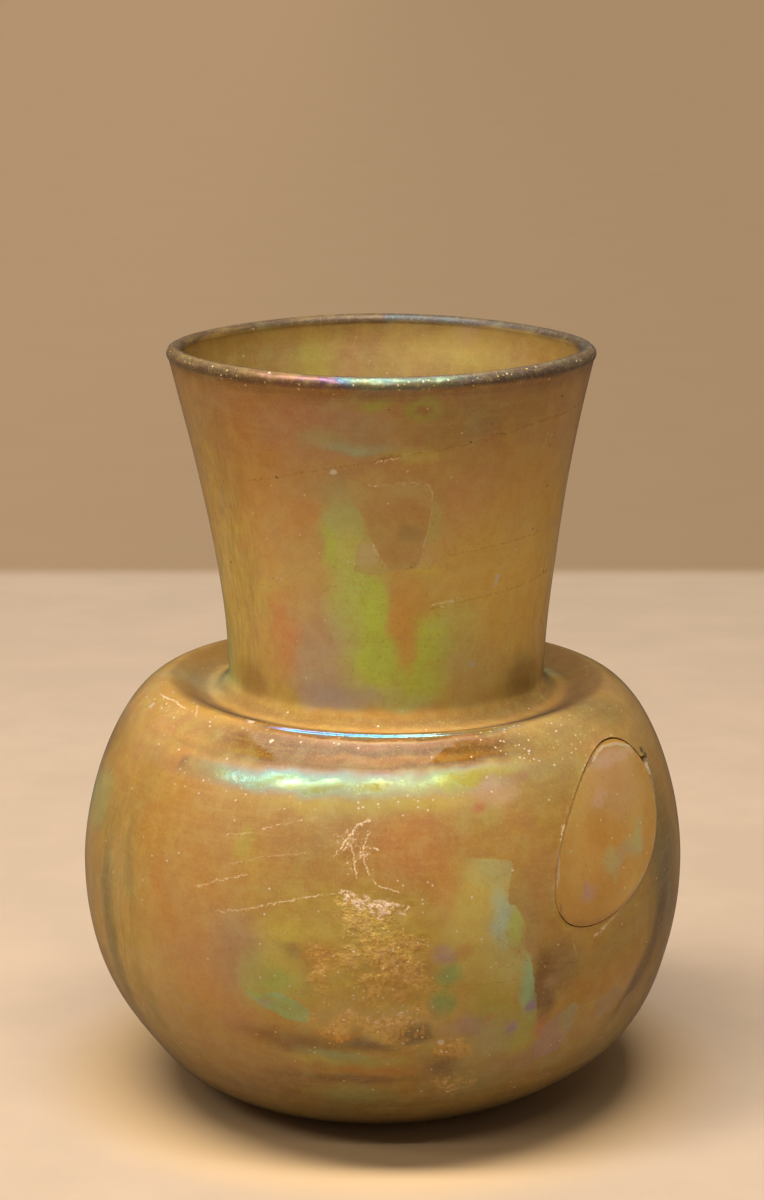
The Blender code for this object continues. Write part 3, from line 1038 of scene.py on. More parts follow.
BODY_STAINS = (
    Stain("golden field round the crust", -3, -2.5, 15, 10, Tone.STRAW, 0.3, 0, 0.5, 2.0),
    Stain("pale low part of the crust", 0, -10.4, 9, 3.0, Tone.BLUSH, 0.55, -6, 0.6, 2.0),
    # Partly the glass's lighter tone, partly painted light on the left flank, which the lamps light.
    Stain("pale amber over the left flank", -44, 0, 12, 16, Tone.PALE_AMBER, 0.5, 0, 0.7),
    Stain("deep amber right of the crack", 5, 12.3, 6, 4.2, Tone.DEEP_AMBER, 0.6),
    Stain("orange right of the crack", 5, 12.3, 4.8, 4.0, Tone.ORANGE, 0.9),
    Stain("pale amber right of the middle", 23, 8, 4.5, 4, Tone.PALE_AMBER, 0.55),
    # Pale amber and blush on the left flank and its edge: partly the glass's own tone, partly painted
    # light on the side the lamps light.
    Stain("pale amber low on the left flank", -51, -12, 9, 8, Tone.PALE_AMBER, 0.6),
    Stain("pale amber, left edge", -61, 4, 5, 9, Tone.PALE_AMBER, 0.5),
    Stain("blush low on the left flank", -52, -12, 6, 7, Tone.BLUSH, 0.35),
    Stain("blush at the left edge", -60, 3, 4, 6, Tone.BLUSH, 0.3),
    Stain("sage beside the glow", -15.5, -4, 2.4, 3, Tone.SAGE, 0.5),
    Stain("deep amber under the bloom", 3, -2.5, 5, 4, Tone.DEEP_AMBER, 0.6),
    Stain("amber over the middle", -12, 13, 9, 4, Tone.DEEP_AMBER, 0.35),
    Stain("orange under the crack", 12, 8, 3.5, 2.2, Tone.ORANGE, 0.5),
    Stain("straw veil, left", -27, 12.4, 1.2, 1.8, Tone.LIME, 0.4),
    Stain("rose left flank", -37, 1, 8, 10, Tone.ROSE, 0.5),
    Stain("mauve left flank, low", -36, -12, 9, 9, Tone.MAUVE, 0.65),
    Stain("blush left flank", -34, -5, 4, 5, Tone.ROSE, 0.4),
    Stain("orange smear, left", -46, 5.5, 1.3, 3.6, Tone.ORANGE, 0.75, 14),
    Stain("orange smear, lower", -42, 0, 1.5, 3, Tone.ORANGE, 0.5, 14),
    Stain("orange smear, upper", -50, 12, 2.5, 3, Tone.ORANGE, 0.4, 14),
    Stain("moss band at the left edge", -63, -5, 1.8, 13, Tone.MOSS, 0.75, 4),
    Stain("moss streak, left", -55, 6, 1.2, 6, Tone.MOSS, 0.4, 14),
    Stain("olive stripe, left", -52, -14, 1.6, 8, Tone.OLIVE, 0.5, 10),
    Stain("pale edge, left", -78, -4, 3.5, 18, Tone.PALE_AMBER, 0.6),
    Stain("straw cloud", -18, 1.8, 4.2, 2.0, Tone.STRAW, 0.6, 8),
    Stain("brown under the cloud", -15.5, -0.6, 3.0, 0.8, Tone.BROWN, 0.6, -24),
    Stain("orange beside the crust", -11, -1.6, 2.5, 2.6, Tone.ORANGE, 0.55),
    Stain("lilac haze", -26, -2.2, 4.2, 5.5, Tone.LILAC, 0.7),
    Stain("grey haze", -22, -5.4, 3.2, 3.8, Tone.SAGE, 0.8),
    Stain("lime glow", -19, -3.0, 2.2, 3.2, Tone.STRAW, 0.6, 20, 0.7),
    Stain("green in the glow", -19.5, -4.6, 1.8, 1.8, Tone.GREEN, 0.5),
    Stain("rose under the lens", -26, -12, 4, 3.2, Tone.ROSE, 0.55),
    Stain("brown bare band", -17, -13.8, 6.5, 1.9, Tone.BROWN, 0.7, -7),
    Stain("orange line over the band", -8, -12.4, 3, 0.6, Tone.ORANGE, 0.8, -8),
    Stain("brown line under the crust", -3, -13.7, 4, 0.7, Tone.UMBER, 0.7, -6),
    Stain("stone streak", -9, -15.4, 4.4, 0.7, Tone.CYAN, 0.5, -3),
    Stain("straw rim of the stripes", -14, -16.4, 3.2, 0.6, Tone.STRAW, 0.7, -4),
    Stain("sage stripe", -5, -16.6, 5.5, 0.7, Tone.SAGE, 0.6),
    Stain("orange stripe", -2, -18.3, 6.5, 0.75, Tone.ORANGE, 0.85, 2),
    Stain("brown stripe", -6, -19.8, 6.5, 0.8, Tone.BROWN, 0.8, 2),
    Stain("sage ellipse", -7, -23.5, 5.2, 2.2, Tone.SAGE, 0.75, 0, 0.45),
    Stain("olive under the ellipse", -4, -27, 7, 1.8, Tone.OLIVE, 0.5),
    Stain("amber right of the stripes", 10, -19.5, 4, 2.4, Tone.DEEP_AMBER, 0.5),
    Stain("umber left of the stripes", -22, -21, 4, 2.0, Tone.BROWN, 0.5, 18),
    Stain("mauve lower left", -31, -23, 6, 4, Tone.MAUVE, 0.5, 20),
    Stain("umber round the spot", 6.3, -12.0, 2.3, 1.5, Tone.UMBER, 0.85, 0, 0.4),
    Stain("umber right of the spot", 12.5, -17.5, 2.4, 2.2, Tone.UMBER, 0.65, -30),
    Stain("stone low right", 20, -19, 4.5, 3.2, Tone.STONE, 0.7),
    Stain("sage low right", 18, -22, 5, 3, Tone.SAGE, 0.4),
    Stain("lilac low right", 28, -18.5, 4.5, 2.6, Tone.LILAC, 0.5, 18),
    Stain("stone far low right", 38, -19, 5, 3.6, Tone.STONE, 0.5, 20),
    Stain("brown bare strip by the border", 30.6, -7.0, 1.6, 5.5, Tone.UMBER, 0.75, 6, 0.5),
    Stain("brown bare field", 34, -5, 3.5, 3.4, Tone.BROWN, 0.75),
    Stain("violet in the bare field", 32.5, -6.4, 1.1, 0.7, Tone.LILAC, 0.6),
    Stain("orange foot of the border", 31.5, -13.4, 0.9, 1.6, Tone.CORAL, 0.7, 10),
    Stain("amber above the bare field", 29, 3.5, 4, 5, Tone.DEEP_AMBER, 0.4),
    Stain("rose under the oval", 31, 8, 3, 3, Tone.ROSE, 0.35),
    Stain("olive under the oval", 44, -5, 6, 2.6, Tone.OLIVE, 0.55, 14),
    Stain("amber under the oval", 44, -8.2, 5, 2.2, Tone.DEEP_AMBER, 0.5, 14),
    Stain("moss right of the oval", 68, 2, 5, 13, Tone.MOSS, 0.85, 4),
    Stain("umber streak, right", 65, -3, 1.6, 8, Tone.UMBER, 0.85, -16),
    Stain("umber streak, low right", 58, -11, 1.6, 6, Tone.UMBER, 0.8, -34),
    Stain("pale edge, right", 80, 2, 3.5, 14, Tone.PALE_AMBER, 0.5),
    Stain("blush flakes, right", 51, -12.6, 3.2, 1.4, Tone.BLUSH, 0.6, 34),
    Stain("olive lower right", 52, -19, 7, 3, Tone.OLIVE, 0.5, 26),
    Stain("moss base", 0, -32, 30, 3, Tone.OLIVE, 0.4),
)

INNER_STAINS = (
    Stain("lime on the back wall", -157, 77.5, 3, 3, Tone.LIME, 0.5, side=Side.INNER),
    Stain("straw on the back wall", 158, 79, 8, 2.4, Tone.STRAW, 0.6, side=Side.INNER),
    Stain("orange on the back wall", 176, 80.4, 6, 1.4, Tone.ORANGE, 0.4, side=Side.INNER),
    Stain("rose fleck on the back wall", 152, 82.0, 1.6, 0.5, Tone.BLUSH, 0.7, side=Side.INNER),
    Stain("olive on the back wall", -140, 80, 5, 4, Tone.OLIVE, 0.4, side=Side.INNER),
    Stain("deep amber by the right corner", 118, 80, 4, 3, Tone.DEEP_AMBER, 0.5, side=Side.INNER),
)

BANDS = (
    Band("brown shelf round the neck", 29.2, 38.0, Tone.BROWN, 0.6, 1.4),
    Band("dark dip round the neck's foot", 35.6, 37.2, Tone.UMBER, 0.45, 1.2),
    Band("shade under the lip", 80.6, 83.2, Tone.BROWN, 0.7, 2.0),
    Band("plum lip", 82.1, 90.0, Tone.PLUM, 0.95, 0.8),
    Band("plum lip inside", 81.9, 90.0, Tone.PLUM, 0.95, 0.7, Side.INNER),
    Band("golden line inside the lip", 80.9, 81.9, Tone.PALE_AMBER, 0.5, 0.8, Side.INNER),
)

BORDER_PAINTS = (
    Stain("straw field", 18.5, 3, 5.4, 8, Tone.STRAW, 0.8, 0, 0.45),
    Stain("pale top", 21, 9.6, 3.4, 1.9, Tone.SAGE, 0.6),
    Stain("cool strip by the border", 21.8, 3, 1.2, 3.6, Tone.CYAN, 0.5, 2),
    Stain("lime strip by the border", 24.6, 2.2, 1.0, 2.6, Tone.LIME, 0.8),
    Stain("yellow heart", 17, -1.8, 3.4, 2.8, Tone.STRAW, 0.95),
    Stain("orange in the heart", 15, -0.6, 1.4, 1.0, Tone.ORANGE, 0.6),
    Stain("straw middle", 24, -4.4, 3.4, 2.6, Tone.STRAW, 0.95),
    Stain("mint by the border", 27.8, -6.8, 1.3, 4.6, Tone.MINT, 0.85, 4),
    Stain("lime low by the border", 27, -13, 2.2, 3.6, Tone.LIME, 0.6),
    Stain("sage low", 21, -12.6, 3.6, 3.6, Tone.SAGE, 0.65),
    Stain("lime field, low", 20, -8.4, 3.6, 2.6, Tone.LIME, 0.55),
    Stain("green dab", 11.8, -3.6, 1.4, 1.7, Tone.GREEN, 0.85),
    Stain("green dab, lower", 10.6, -7.4, 1.5, 1.4, Tone.GREEN, 0.85),
    Stain("violet dab, upper", 11.6, -0.6, 1.4, 1.0, Tone.LILAC, 0.7),
    Stain("violet dab by the border", 28.6, -9.4, 0.8, 0.8, Tone.VIOLET, 0.9, 0, 0.5, 0.4),
    Stain("violet dab, low", 24.8, -12.4, 0.8, 0.8, Tone.VIOLET, 0.7, 0, 0.5, 0.4),
    Stain("brown dab in the field", 20.6, -10.4, 0.9, 0.6, Tone.ORANGE, 0.7),
    Stain("lilac field, low", 15.5, -11, 2.6, 1.6, Tone.LILAC, 0.6),
    Stain("amber left side", 11, 7, 1.6, 4, Tone.ORANGE, 0.4),
)

FLAKES = (
    Flake(
        "film with the straight border",
        (
            (0, 12.6), (17.5, 11.3), (24.6, 10.3), (23.4, 7.6), (22.8, 5.0), (24.4, 4.6), (26.6, 1.8),
            (25.9, -0.8), (27.4, -2.6), (29.0, -7.4), (30.8, -13.4), (31.8, -24), (6, -24), (0, -6),
        ),
        BORDER_PAINTS,
        0.22,
    ),
    Flake(
        "shield on the neck",
        (
            (-10.8, 70.2), (-4, 68.8), (6, 69.3), (12.6, 69.0), (14.6, 67.9), (13.9, 64.1), (11.6, 59.4),
            (10.2, 57.8), (7.4, 57.5), (0.8, 57.5), (-3.5, 60.8), (-5, 63.4), (-8.2, 66.6),
        ),
        (
            Stain("shield", 4, 64, 12, 10, Tone.PALE_AMBER, 1.0),
            Stain("shield's straw", 4, 64, 12, 10, Tone.STRAW, 0.2),
            Stain("shield's orange heart", 5, 65.6, 3.4, 2.2, Tone.ORANGE, 0.5),
            Stain("shield's foot", 5, 60, 3.4, 1.4, Tone.ORANGE, 0.35),
            Stain("shield's shade", 7, 62.6, 1.6, 0.8, Tone.BROWN, 0.4),
        ),
        0.18,
    ),
    Flake(
        "pale tooth left of the shield",
        ((-3.9, 60.9), (0.7, 57.4), (-4.5, 56.8), (-9.8, 57.2), (-8.6, 60.6), (-6.2, 61.6)),
        (
            Stain("tooth", -4, 59, 8, 5, Tone.STRAW, 1.0),
            Stain("tooth's pale side", -6, 60, 2, 1.6, Tone.IVORY, 0.4),
        ),
        0.15,
    ),
    Flake(
        "green lens",
        (
            (-26.2, -6.5), (-23, -7.0), (-19, -6.6), (-15, -7.8), (-13.2, -9.0), (-14.2, -10.7),
            (-17.5, -10.4), (-21.6, -9.0), (-24.6, -7.9),
        ),
        (
            Stain("lens", -18, -8.6, 7, 4, Tone.MINT, 0.75),
            Stain("lens's green", -17, -9.2, 3, 1.4, Tone.LIME, 0.5),
            Stain("lens's violet spot", -21.4, -7.8, 1.3, 0.9, Tone.LILAC, 0.8),
            Stain("lens's lime rim", -22, -7.2, 3.4, 0.7, Tone.LIME, 0.8, -14),
        ),
        0.16,
    ),
    Flake(
        "blush flake at the lower right",
        (
            (32.3, -13.6), (34.4, -11.9), (38.9, -10.4), (39.9, -11.4), (39.6, -14.8), (36.8, -18.6),
            (31.6, -18.8), (31.2, -15.6),
        ),
        (
            Stain("blush flake", 36, -14, 8, 8, Tone.LILAC, 0.6),
            Stain("its pale rim", 38.5, -12.6, 2, 3, Tone.SAGE, 0.7),
        ),
        0.3,
    ),
    Flake(
        "blush flake, far right",
        ((44.6, -11.4), (50.8, -10.6), (53.6, -11.8), (50.6, -14.6), (46.2, -14.4)),
        (Stain("far flake", 49, -12.5, 6, 4, Tone.STONE, 0.7),),
        0.45,
    ),
    Flake(
        "sliver under it",
        ((55.4, -13.2), (60.2, -12.2), (58, -15.2), (52.6, -18.4), (51.2, -17.4)),
        (Stain("sliver", 56, -15, 8, 5, Tone.STONE, 0.6),),
        0.45,
    ),
    Flake(
        "umber chip in the crust",
        ((3.8, -9.9), (9.2, -9.8), (9.6, -12.4), (8.6, -14.0), (5.6, -13.8), (5.2, -12.2), (3.4, -11.6)),
        (
            Stain("chip", 6.4, -12, 4, 4, Tone.UMBER, 0.95),
            Stain("its amber side", 5, -11, 1, 1, Tone.BROWN, 0.6),
        ),
        0.3,
    ),
)

PALE = 1.0
DARK = 0.0

LINES = (
    Line(
        "trail round the neck, left",
        ((-44, 68.3), (-32, 69.4), (-13.5, 71.4), (2, 72.7)),
        0.10, DARK, 0,
    ),
    Line("trail round the neck, right", ((2, 72.7), (26, 74.4), (48, 76), (80, 77)), 0.13, DARK, 0),
    Line("trail round the neck, back", ((80, 77), (130, 78.0), (190, 78.6)), 0.10, DARK, 1),
    Line("low trail, back", ((100, 55), (140, 56.5), (205, 58)), 0.10, DARK, 1),
    Line("trail behind, left", ((200, 66), (240, 67), (290, 67.5)), 0.10, DARK, 2),
    Line("scratch at the back", ((150, 14), (165, 12), (182, 11)), 0.11, 0.8, 2),
    Line("scratch behind, left", ((215, 4), (232, 6), (250, 6.4)), 0.11, 0.8, 1),
    Line("scratch behind, right", ((95, 12), (112, 9), (124, 3)), 0.10, 0.8, 2),
    Line("trail's thick piece", ((-1.5, 72.5), (4.6, 73.1)), 0.26, DARK, 1),
    Line("trail's light", ((-1.5, 72.2), (4.6, 72.8)), 0.10, PALE, 2),
    Line("middle trail", ((-20, 54.4), (-10, 56.4), (1, 57.2), (24, 59.4), (58, 60.4)), 0.09, DARK, 0),
    Line("low trail", ((15, 52.1), (24, 52.7), (41, 53.2), (70, 54)), 0.11, DARK, 0),
    Line("low trail's light", ((15, 52.5), (20, 52.9), (26, 53.1)), 0.09, PALE, 1),
    Line("crack at the neck's right edge", ((70, 47), (79, 43.5), (80, 40), (72, 36.8)), 0.22, DARK, 0),
    Line(
        "shield's outline",
        ((-4, 69), (6, 69.4), (12.8, 69.1), (14.7, 67.9), (13.6, 63), (10.4, 57.9)),
        0.07, PALE, 2,
    ),
    Line("tooth's edge", ((-4, 61.1), (1, 57.3)), 0.10, PALE, 2),
    Line("crack, left branch", ((-2.3, 16.8), (-5.2, 15.8), (-7.0, 14.1), (-8.9, 12.2)), 0.17, PALE, 0),
    Line(
        "crack, right branch",
        ((-3.0, 14.9), (-4.0, 13.0), (-3.5, 11.0), (-2.2, 9.3), (-0.5, 8.1), (2.6, 7.6)),
        0.10, PALE, 1,
    ),
    Line("crack, middle", ((-6.2, 13.8), (-5.6, 11.6), (-5.0, 9.6)), 0.12, PALE, 2),
    Line("crack, foot", ((-3.6, 13.2), (-1.4, 12.9)), 0.12, PALE, 0),
    Line("upper scratch", ((-31, 13), (-26, 13.8)), 0.07, 0.6, 1),
    Line("upper scratch, right", ((-24.6, 14.2), (-20, 15.4), (-13.5, 16.6)), 0.09, 0.7, 1),
    Line("middle scratch", ((-36, 5.8), (-31, 7.3), (-26, 8.4)), 0.09, 0.7, 0),
    Line("bright scratch, left", ((-31, 3.2), (-26, 4.0), (-21, 5.1)), 0.10, 0.75, 1),
    Line("bright scratch", ((-21, 5.1), (-15, 6.3), (-8.5, 7.2)), 0.11, 0.8, 0),
    Line("faint scratch", ((-30, 9.4), (-22, 11.2), (-14, 12.0)), 0.06, 0.6, 2),
    Line("scratches on the left crest", ((-74, 27.2), (-66, 27.8), (-58, 27.6)), 0.12, 0.8, 0),
    Line("scratch on the left crest", ((-57, 29), (-52, 27.2)), 0.10, 0.8, 1),
    Line("hair, left", ((20.7, 4.3), (21.2, -2.2)), 0.13, DARK, 0),
    Line("hair, right", ((23.0, 4.7), (23.6, 1.7)), 0.12, DARK, 1),
    Line("long hair", ((21.0, 0.6), (24, -1.0), (27.0, -2.9), (30.2, -3.8)), 0.13, DARK, 1),
    Line("long hair's tail", ((30.2, -3.8), (34, -4.1), (38, -4.6)), 0.15, DARK, 2),
    Line("short hair", ((25.1, -1.0), (26.2, 0.8)), 0.11, DARK, 0),
    Line("faint hair", ((11, -5.1), (24, -5.3)), 0.07, DARK, 2),
    Line("hair under the hairs", ((22.6, -3.4), (27.4, -3.3)), 0.08, DARK, 0),
    Line("crack from the oval's tip", ((28.4, 20.2), (31.5, 18.6), (35, 17.2)), 0.10, DARK, 0),
    Line("left edge crack", ((-80, -1.5), (-72, -3.2)), 0.16, DARK, 0),
)

OVAL_LINES = (
    Line("join, upper left", ((49.2, 20.9), (44.8, 19.6), (40.8, 17.2), (37.5, 15.0)), 0.3, DARK, 0),
    Line("join's light, left", ((36.4, 13.5), (34.6, 10.1), (33.6, 6.2)), 0.24, 0.7, 0),
    Line("join, lower left", ((33.8, 3.6), (34.2, 2.1), (36.8, -1.9)), 0.22, DARK, 0),
    Line("nick in the join", ((65.5, 19.6), (68.0, 18.4), (69.5, 16.6)), 0.55, DARK, 0),
    Line("join's light, foot", ((36.8, -1.9), (37.5, -3.6)), 0.16, 0.6, 1),
    Line(
        "join's light, top",
        ((49.6, 20.6), (52.0, 21.4), (55.0, 21.9), (60.0, 21.4), (64.5, 20.3)),
        0.3, 0.85, 1,
    ),
    Line(
        "join's light, right",
        ((69.5, 17.3), (67.5, 13.0), (64.5, 9.0), (59.3, 5.2), (54.5, 3.1), (48.0, 0.3), (42.2, -1.6)),
        0.3, 0.75, 1,
    ),
)

PATCH_STAINS = (
    Stain("orange heart", 46, 8, 5, 5, Tone.ORANGE, 0.4),
    Stain("mauve top", 54, 17, 6, 4, Tone.MAUVE, 0.5),
    Stain("deep foot", 42, 2, 5, 4, Tone.DEEP_AMBER, 0.35),
    Stain("smudge, right", 55.2, 9.0, 1.5, 2.2, Tone.SAGE, 0.75, -30, 0.6, 1.4),
    Stain("smudge, middle", 47.5, 6.9, 1.8, 1.2, Tone.SAGE, 0.65, 30, 0.6, 1.4),
    Stain("smudge's tail", 51, 7.4, 2.4, 0.8, Tone.STONE, 0.6, 30, 0.6, 1.2),
    Stain("smudge, low", 41.2, 4.5, 1.0, 0.8, Tone.LILAC, 0.6, 0, 0.6, 1.0),
    Stain("smudge, upper left", 48, 15.4, 1.4, 1.0, Tone.BLUSH, 0.4, 0, 0.6, 1.4),
    Stain("worn top", 57, 20, 5, 1.2, Tone.BLUSH, 0.5, 0, 0.6, 1.2),
)

DOTS = (
    Dot(-14, 70.8, 0.38, 1.0), Dot(39.2, 55.4, 0.41, 0.8), Dot(38.4, 54.4, 0.30, 0.8),
    Dot(31, 43.9, 0.38, 0.7), Dot(-27, 26, 0.34, 1.0), Dot(-36, 29.0, 0.45, 1.0),
    Dot(-37.6, 29.4, 0.26, 1.0), Dot(-72, 25.4, 0.45, 0.7), Dot(-50, 22, 0.15, 0.9),
    Dot(57.5, 78.9, 0.18), Dot(56.2, 72.2, 0.18), Dot(58.8, 66.5, 0.20), Dot(54, 60.9, 0.20),
    Dot(70.8, 57.9, 0.22), Dot(66, 54.2, 0.21), Dot(25, 74.5, 0.15), Dot(33.5, 75.3, 0.12),
    Dot(31, 76.7, 0.12), Dot(-55.5, 67.3, 0.15), Dot(-55, 63.9, 0.15), Dot(-61.8, 55.8, 0.20),
    Dot(-64, 59, 0.14), Dot(-32, 69.4, 0.21), Dot(-11.5, 58.6, 0.15, 1.0), Dot(-9.4, 58.3, 0.12, 1.0),
    Dot(18.8, 52.2, 0.15, 1.0), Dot(22, 52.8, 0.14, 1.0), Dot(-40, -11.7, 0.32, 0.5),
    Dot(-47.5, -19.2, 0.15, 1.0), Dot(10.8, -13.5, 0.41, 0.95), Dot(-2.8, -22, 0.17, 0.9),
    Dot(-50, 1.8, 0.12, 0.9), Dot(-44, 8, 0.14, 0.9), Dot(-40, 17.4, 0.12, 0.9),
    Dot(30, -24.5, 0.15, 1.0), Dot(38, -23.2, 0.15, 0.9), Dot(30.5, -4.2, 0.15, 0.9),
    Dot(24, 9.2, 0.18, 0.9), Dot(69.2, 18.9, 0.5), Dot(70.2, 17.9, 0.4), Dot(33, 24, 0.18, 0.9),
    Dot(38, 21.5, 0.15, 0.9), Dot(43, 26, 0.17, 0.9), Dot(-30, 15, 0.15, 0.9), Dot(48, 28, 0.15, 0.9),
    Dot(28, 26, 0.17, 0.9), Dot(10, 24.6, 0.18, 0.9), Dot(-6, 30, 0.15, 0.9), Dot(-20, 26.4, 0.17, 0.9),
    Dot(-60, 15, 0.12, 0.9), Dot(36, -24, 0.12, 0.9), Dot(2, 79.4, 0.11),
)

CRUSTS = (
    Stain("amber crust", 0, -1.5, 6, 7, Tone.AMBER, 0.85, 10, 0.8, 3.4),
    Stain("crust's top", -3, 4.5, 6, 2.4, Tone.AMBER, 0.8, -6, 0.7, 2.4),
    Stain("crust's left arm", -9, -2.5, 4, 5, Tone.AMBER, 0.7, -20, 0.8, 3.0),
    Stain("crust's low edge", -2, -11.0, 9, 2.4, Tone.AMBER, 0.95, -6, 0.7, 2.6),
    Stain("crust's right arm", 6, -5, 4, 6, Tone.AMBER, 0.7, 0, 0.8, 3.0),
    Stain("crust low on the right", 13, -15, 5, 2.4, Tone.AMBER, 0.8, -20, 0.8, 2.6),
    Stain("crust at the back", 205, -6, 7, 6, Tone.AMBER, 0.85, 20, 0.8, 3.0),
    Stain("crust at the left", -112, 5, 6, 5, Tone.AMBER, 0.8, 0, 0.8, 3.0),
    Stain("crust at the right", 118, -10, 7, 4, Tone.AMBER, 0.8, -10, 0.8, 3.0),
    Stain("crust by the ellipse", 14, -21, 4, 3.6, Tone.AMBER, 0.6, 0, 0.5, 1.6),
)

BLOOMS = (
    Stain("white bloom over the crust", -2.6, 6.2, 5.6, 1.5, Tone.IVORY, 1.0, -6, 0.5, 1.4),
    Stain("white bloom, right", 3.6, 5.0, 1.8, 1.4, Tone.IVORY, 0.85, 0, 0.5, 1.0),
    Stain("bloom round the crack", -6, 12.6, 2.8, 4.2, Tone.IVORY, 0.74, 20, 0.6, 1.0),
    Stain("bloom in the crust", -1, -10, 7, 2.2, Tone.IVORY, 0.8, -4, 0.7, 2.0),
    Stain("bloom under the spot", 12.5, -13.8, 4, 1.3, Tone.IVORY, 0.7, -20, 0.6, 1.2),
    Stain("bloom at the back", 160, 9, 5, 3, Tone.IVORY, 0.8, 10, 0.7, 2.0),
    Stain("bloom behind, left", -125, 22, 6, 2.4, Tone.IVORY, 0.7, 0, 0.7, 2.0),
    Stain("bloom behind, low", 230, -14, 6, 3, Tone.IVORY, 0.7, 0, 0.7, 2.0),
    Stain("bloom low", 15, -21.5, 3.4, 3, Tone.IVORY, 0.75, 0, 0.7, 1.6),
    Stain("bloom at the neck's left foot", -61, 40.5, 1.0, 4.5, Tone.IVORY, 0.45, 0, 0.8, 0.8),
    Stain("bloom at the neck's right foot", 64, 39.5, 1.2, 3.4, Tone.IVORY, 0.5, 0, 0.8, 0.8),
    Stain("bloom on the left crest", -64, 27, 5, 1.8, Tone.IVORY, 0.72, 0, 0.8, 1.4),
    Stain("bloom on the lip, left", -60, 82.6, 4, 0.7, Tone.IVORY, 0.6, 0, 0.8, 0.5),
    Stain("bloom under the oval's tip", 34, 19, 1, 3, Tone.IVORY, 0.3, 0, 0.8, 0.8),
)

STREAKS = (
    Stain("streaked left edge of the neck", -66, 60, 8, 24, Tone.BROWN, 0.9, 0, 0.5),
    Stain("streaked right edge of the neck", 70, 58, 5, 24, Tone.BROWN, 0.6, 0, 0.5),
    Stain("streaked left edge of the body", -64, 0, 9, 20, Tone.BROWN, 0.8, 0, 0.6),
    Stain("streaked right edge of the body", 68, 0, 8, 20, Tone.BROWN, 0.9, 0, 0.6),
    Stain("streaked back", 180, 10, 60, 40, Tone.BROWN, 0.35, 0, 0.6),
)

# Where pale flecks lie: partly the film's own flecks and partly painted glints of the lamps, thickest in
# the shine.
FLECKS_AND_GLINTS = (
    Stain("sparks in the shine", -8, 19.6, 22, 2.2, Tone.IVORY, 1.0, 0, 0.5),
    Stain("sparks over the crest", 8, 28.6, 24, 1.8, Tone.IVORY, 0.8, 0, 0.6),
    Stain("sparks on the left crest", -60, 27, 12, 4, Tone.IVORY, 0.5, 0, 0.7),
    Stain("sparks on the right crest", 44, 25, 12, 4, Tone.IVORY, 0.7, 0, 0.7),
    Stain("sparks on the lip", -10, 83, 40, 1.6, Tone.IVORY, 0.7, 0, 0.5),
    Stain("sparks in the crust", 0, -4, 11, 11, Tone.IVORY, 0.5, 0, 0.6),
)

MOTTLES = (
    Mottle(14.0, 5, Tone.MAUVE, 0.3),
    Mottle(9.0, 6, Tone.OLIVE, 0.3),
    Mottle(2.6, 15, Tone.ROSE, 0.2, 0.3, 1.2),
    Mottle(2.2, 16, Tone.STRAW, 0.25, 0.3, 1.2),
)

PATCH_MOTTLE = Mottle(6.0, 41, Tone.PALE_AMBER, 1.0, 0.5, 1.0)

SCATTERED_PAINTS = (
    Tone.ORANGE, Tone.DEEP_AMBER, Tone.MAUVE, Tone.ROSE, Tone.STRAW, Tone.LIME, Tone.SAGE, Tone.STONE,
    Tone.OLIVE, Tone.LILAC, Tone.PALE_AMBER, Tone.BROWN, Tone.CYAN, Tone.MOSS,
)

# Painted light and shade by height: gains of red, green and blue for the glass's paint, darkening it
# towards the base and lightening the neck, with less blue throughout.
LIGHT_AND_SHADE_RISES = (-40, -25, -17, -8, 2, 9, 16, 21.5, 24, 28, 31, 34, 40, 55, 78)
LIGHT_AND_SHADE_GAINS = (
    (0.48, 0.52, 0.92, 1.16, 0.98, 0.88, 0.86, 0.95, 0.98, 1.05, 1.1, 1.15, 1.38, 1.4, 0.94),
    (0.5, 0.57, 1.0, 1.22, 1.0, 0.84, 0.8, 0.98, 0.98, 1.05, 1.1, 1.15, 1.56, 1.62, 0.9),
    (0.38, 0.42, 0.52, 0.56, 0.5, 0.34, 0.38, 0.9, 0.84, 0.9, 0.94, 1.0, 0.95, 0.92, 0.72),
)

SHINES = (
    Stain("shine along the shoulder", -14, 20.7, 24, 1.35, Tone.MINT, 1.1, 1, 0.95, 0.5),
    Stain("shine at the back", 172, 20.8, 26, 2.2, Tone.MINT, 1.0, 0, 0.6, 1.5),
    Stain("shine at the left", -104, 20.8, 11, 1.8, Tone.MINT, 0.9, 0, 0.6, 1.5),
    Stain("glow on the neck's back", 195, 58, 10, 14, Tone.SAGE, 0.5, 0, 0.7, 3.0),
    Stain("tail of the shine", 18, 21.2, 8, 1.3, Tone.STRAW, 1.0, 4, 0.9, 0.5),
    Stain("shine in the crease", -3, 28.8, 18, 1.6, Tone.CYAN, 1.4, 0, 0.4, 0.2),
    Stain("pink dashes on the lip", -22, 84.2, 9, 2.4, Tone.VIOLET, 0.8, 0, 0.5, 0.3),
    Stain("yellow dashes on the lip", 2, 84.2, 11, 2.4, Tone.STRAW, 0.7, 0, 0.5, 0.3),
    Stain("shine by the border", 24, 2, 4, 8, Tone.MINT, 0.35, 0, 0.6),
    Stain("shine at the violet foot", -20, 41, 7, 3, Tone.VIOLET, 0.35, 0, 0.6),
    Stain("faint shine down the neck", -8, 60, 14, 22, Tone.SAGE, 0.25, 0, 0.8),
)

HUES = (
    Hue(
        "along the shoulder", 20.8, 3.4,
        (-60, -39, -25, -10, 2, 12, 22, 60),
        (190, 190, 191, 192, 194, 200, 208, 215),
    ),
    Hue(
        "in the crease", 29.7, 1.8,
        (-60, -28, -20, -8, 4, 14, 24, 60),
        (140, 145, 150, 163, 168, 180, 190, 214),
    ),
    Hue(
        "on the lip", 84.2, 3.4,
        (-60, -34, -22, -12, -6, 10, 40),
        (140, 140, 140, 155, 226, 230, 232),
    ),
)

GRIME = (
    Band("grime in the dip", 34.2, 38.0, Tone.BROWN, 1.0, 1.2),
    Band("worn lip", 81.4, 90.0, Tone.BROWN, 0.35, 0.8),
)


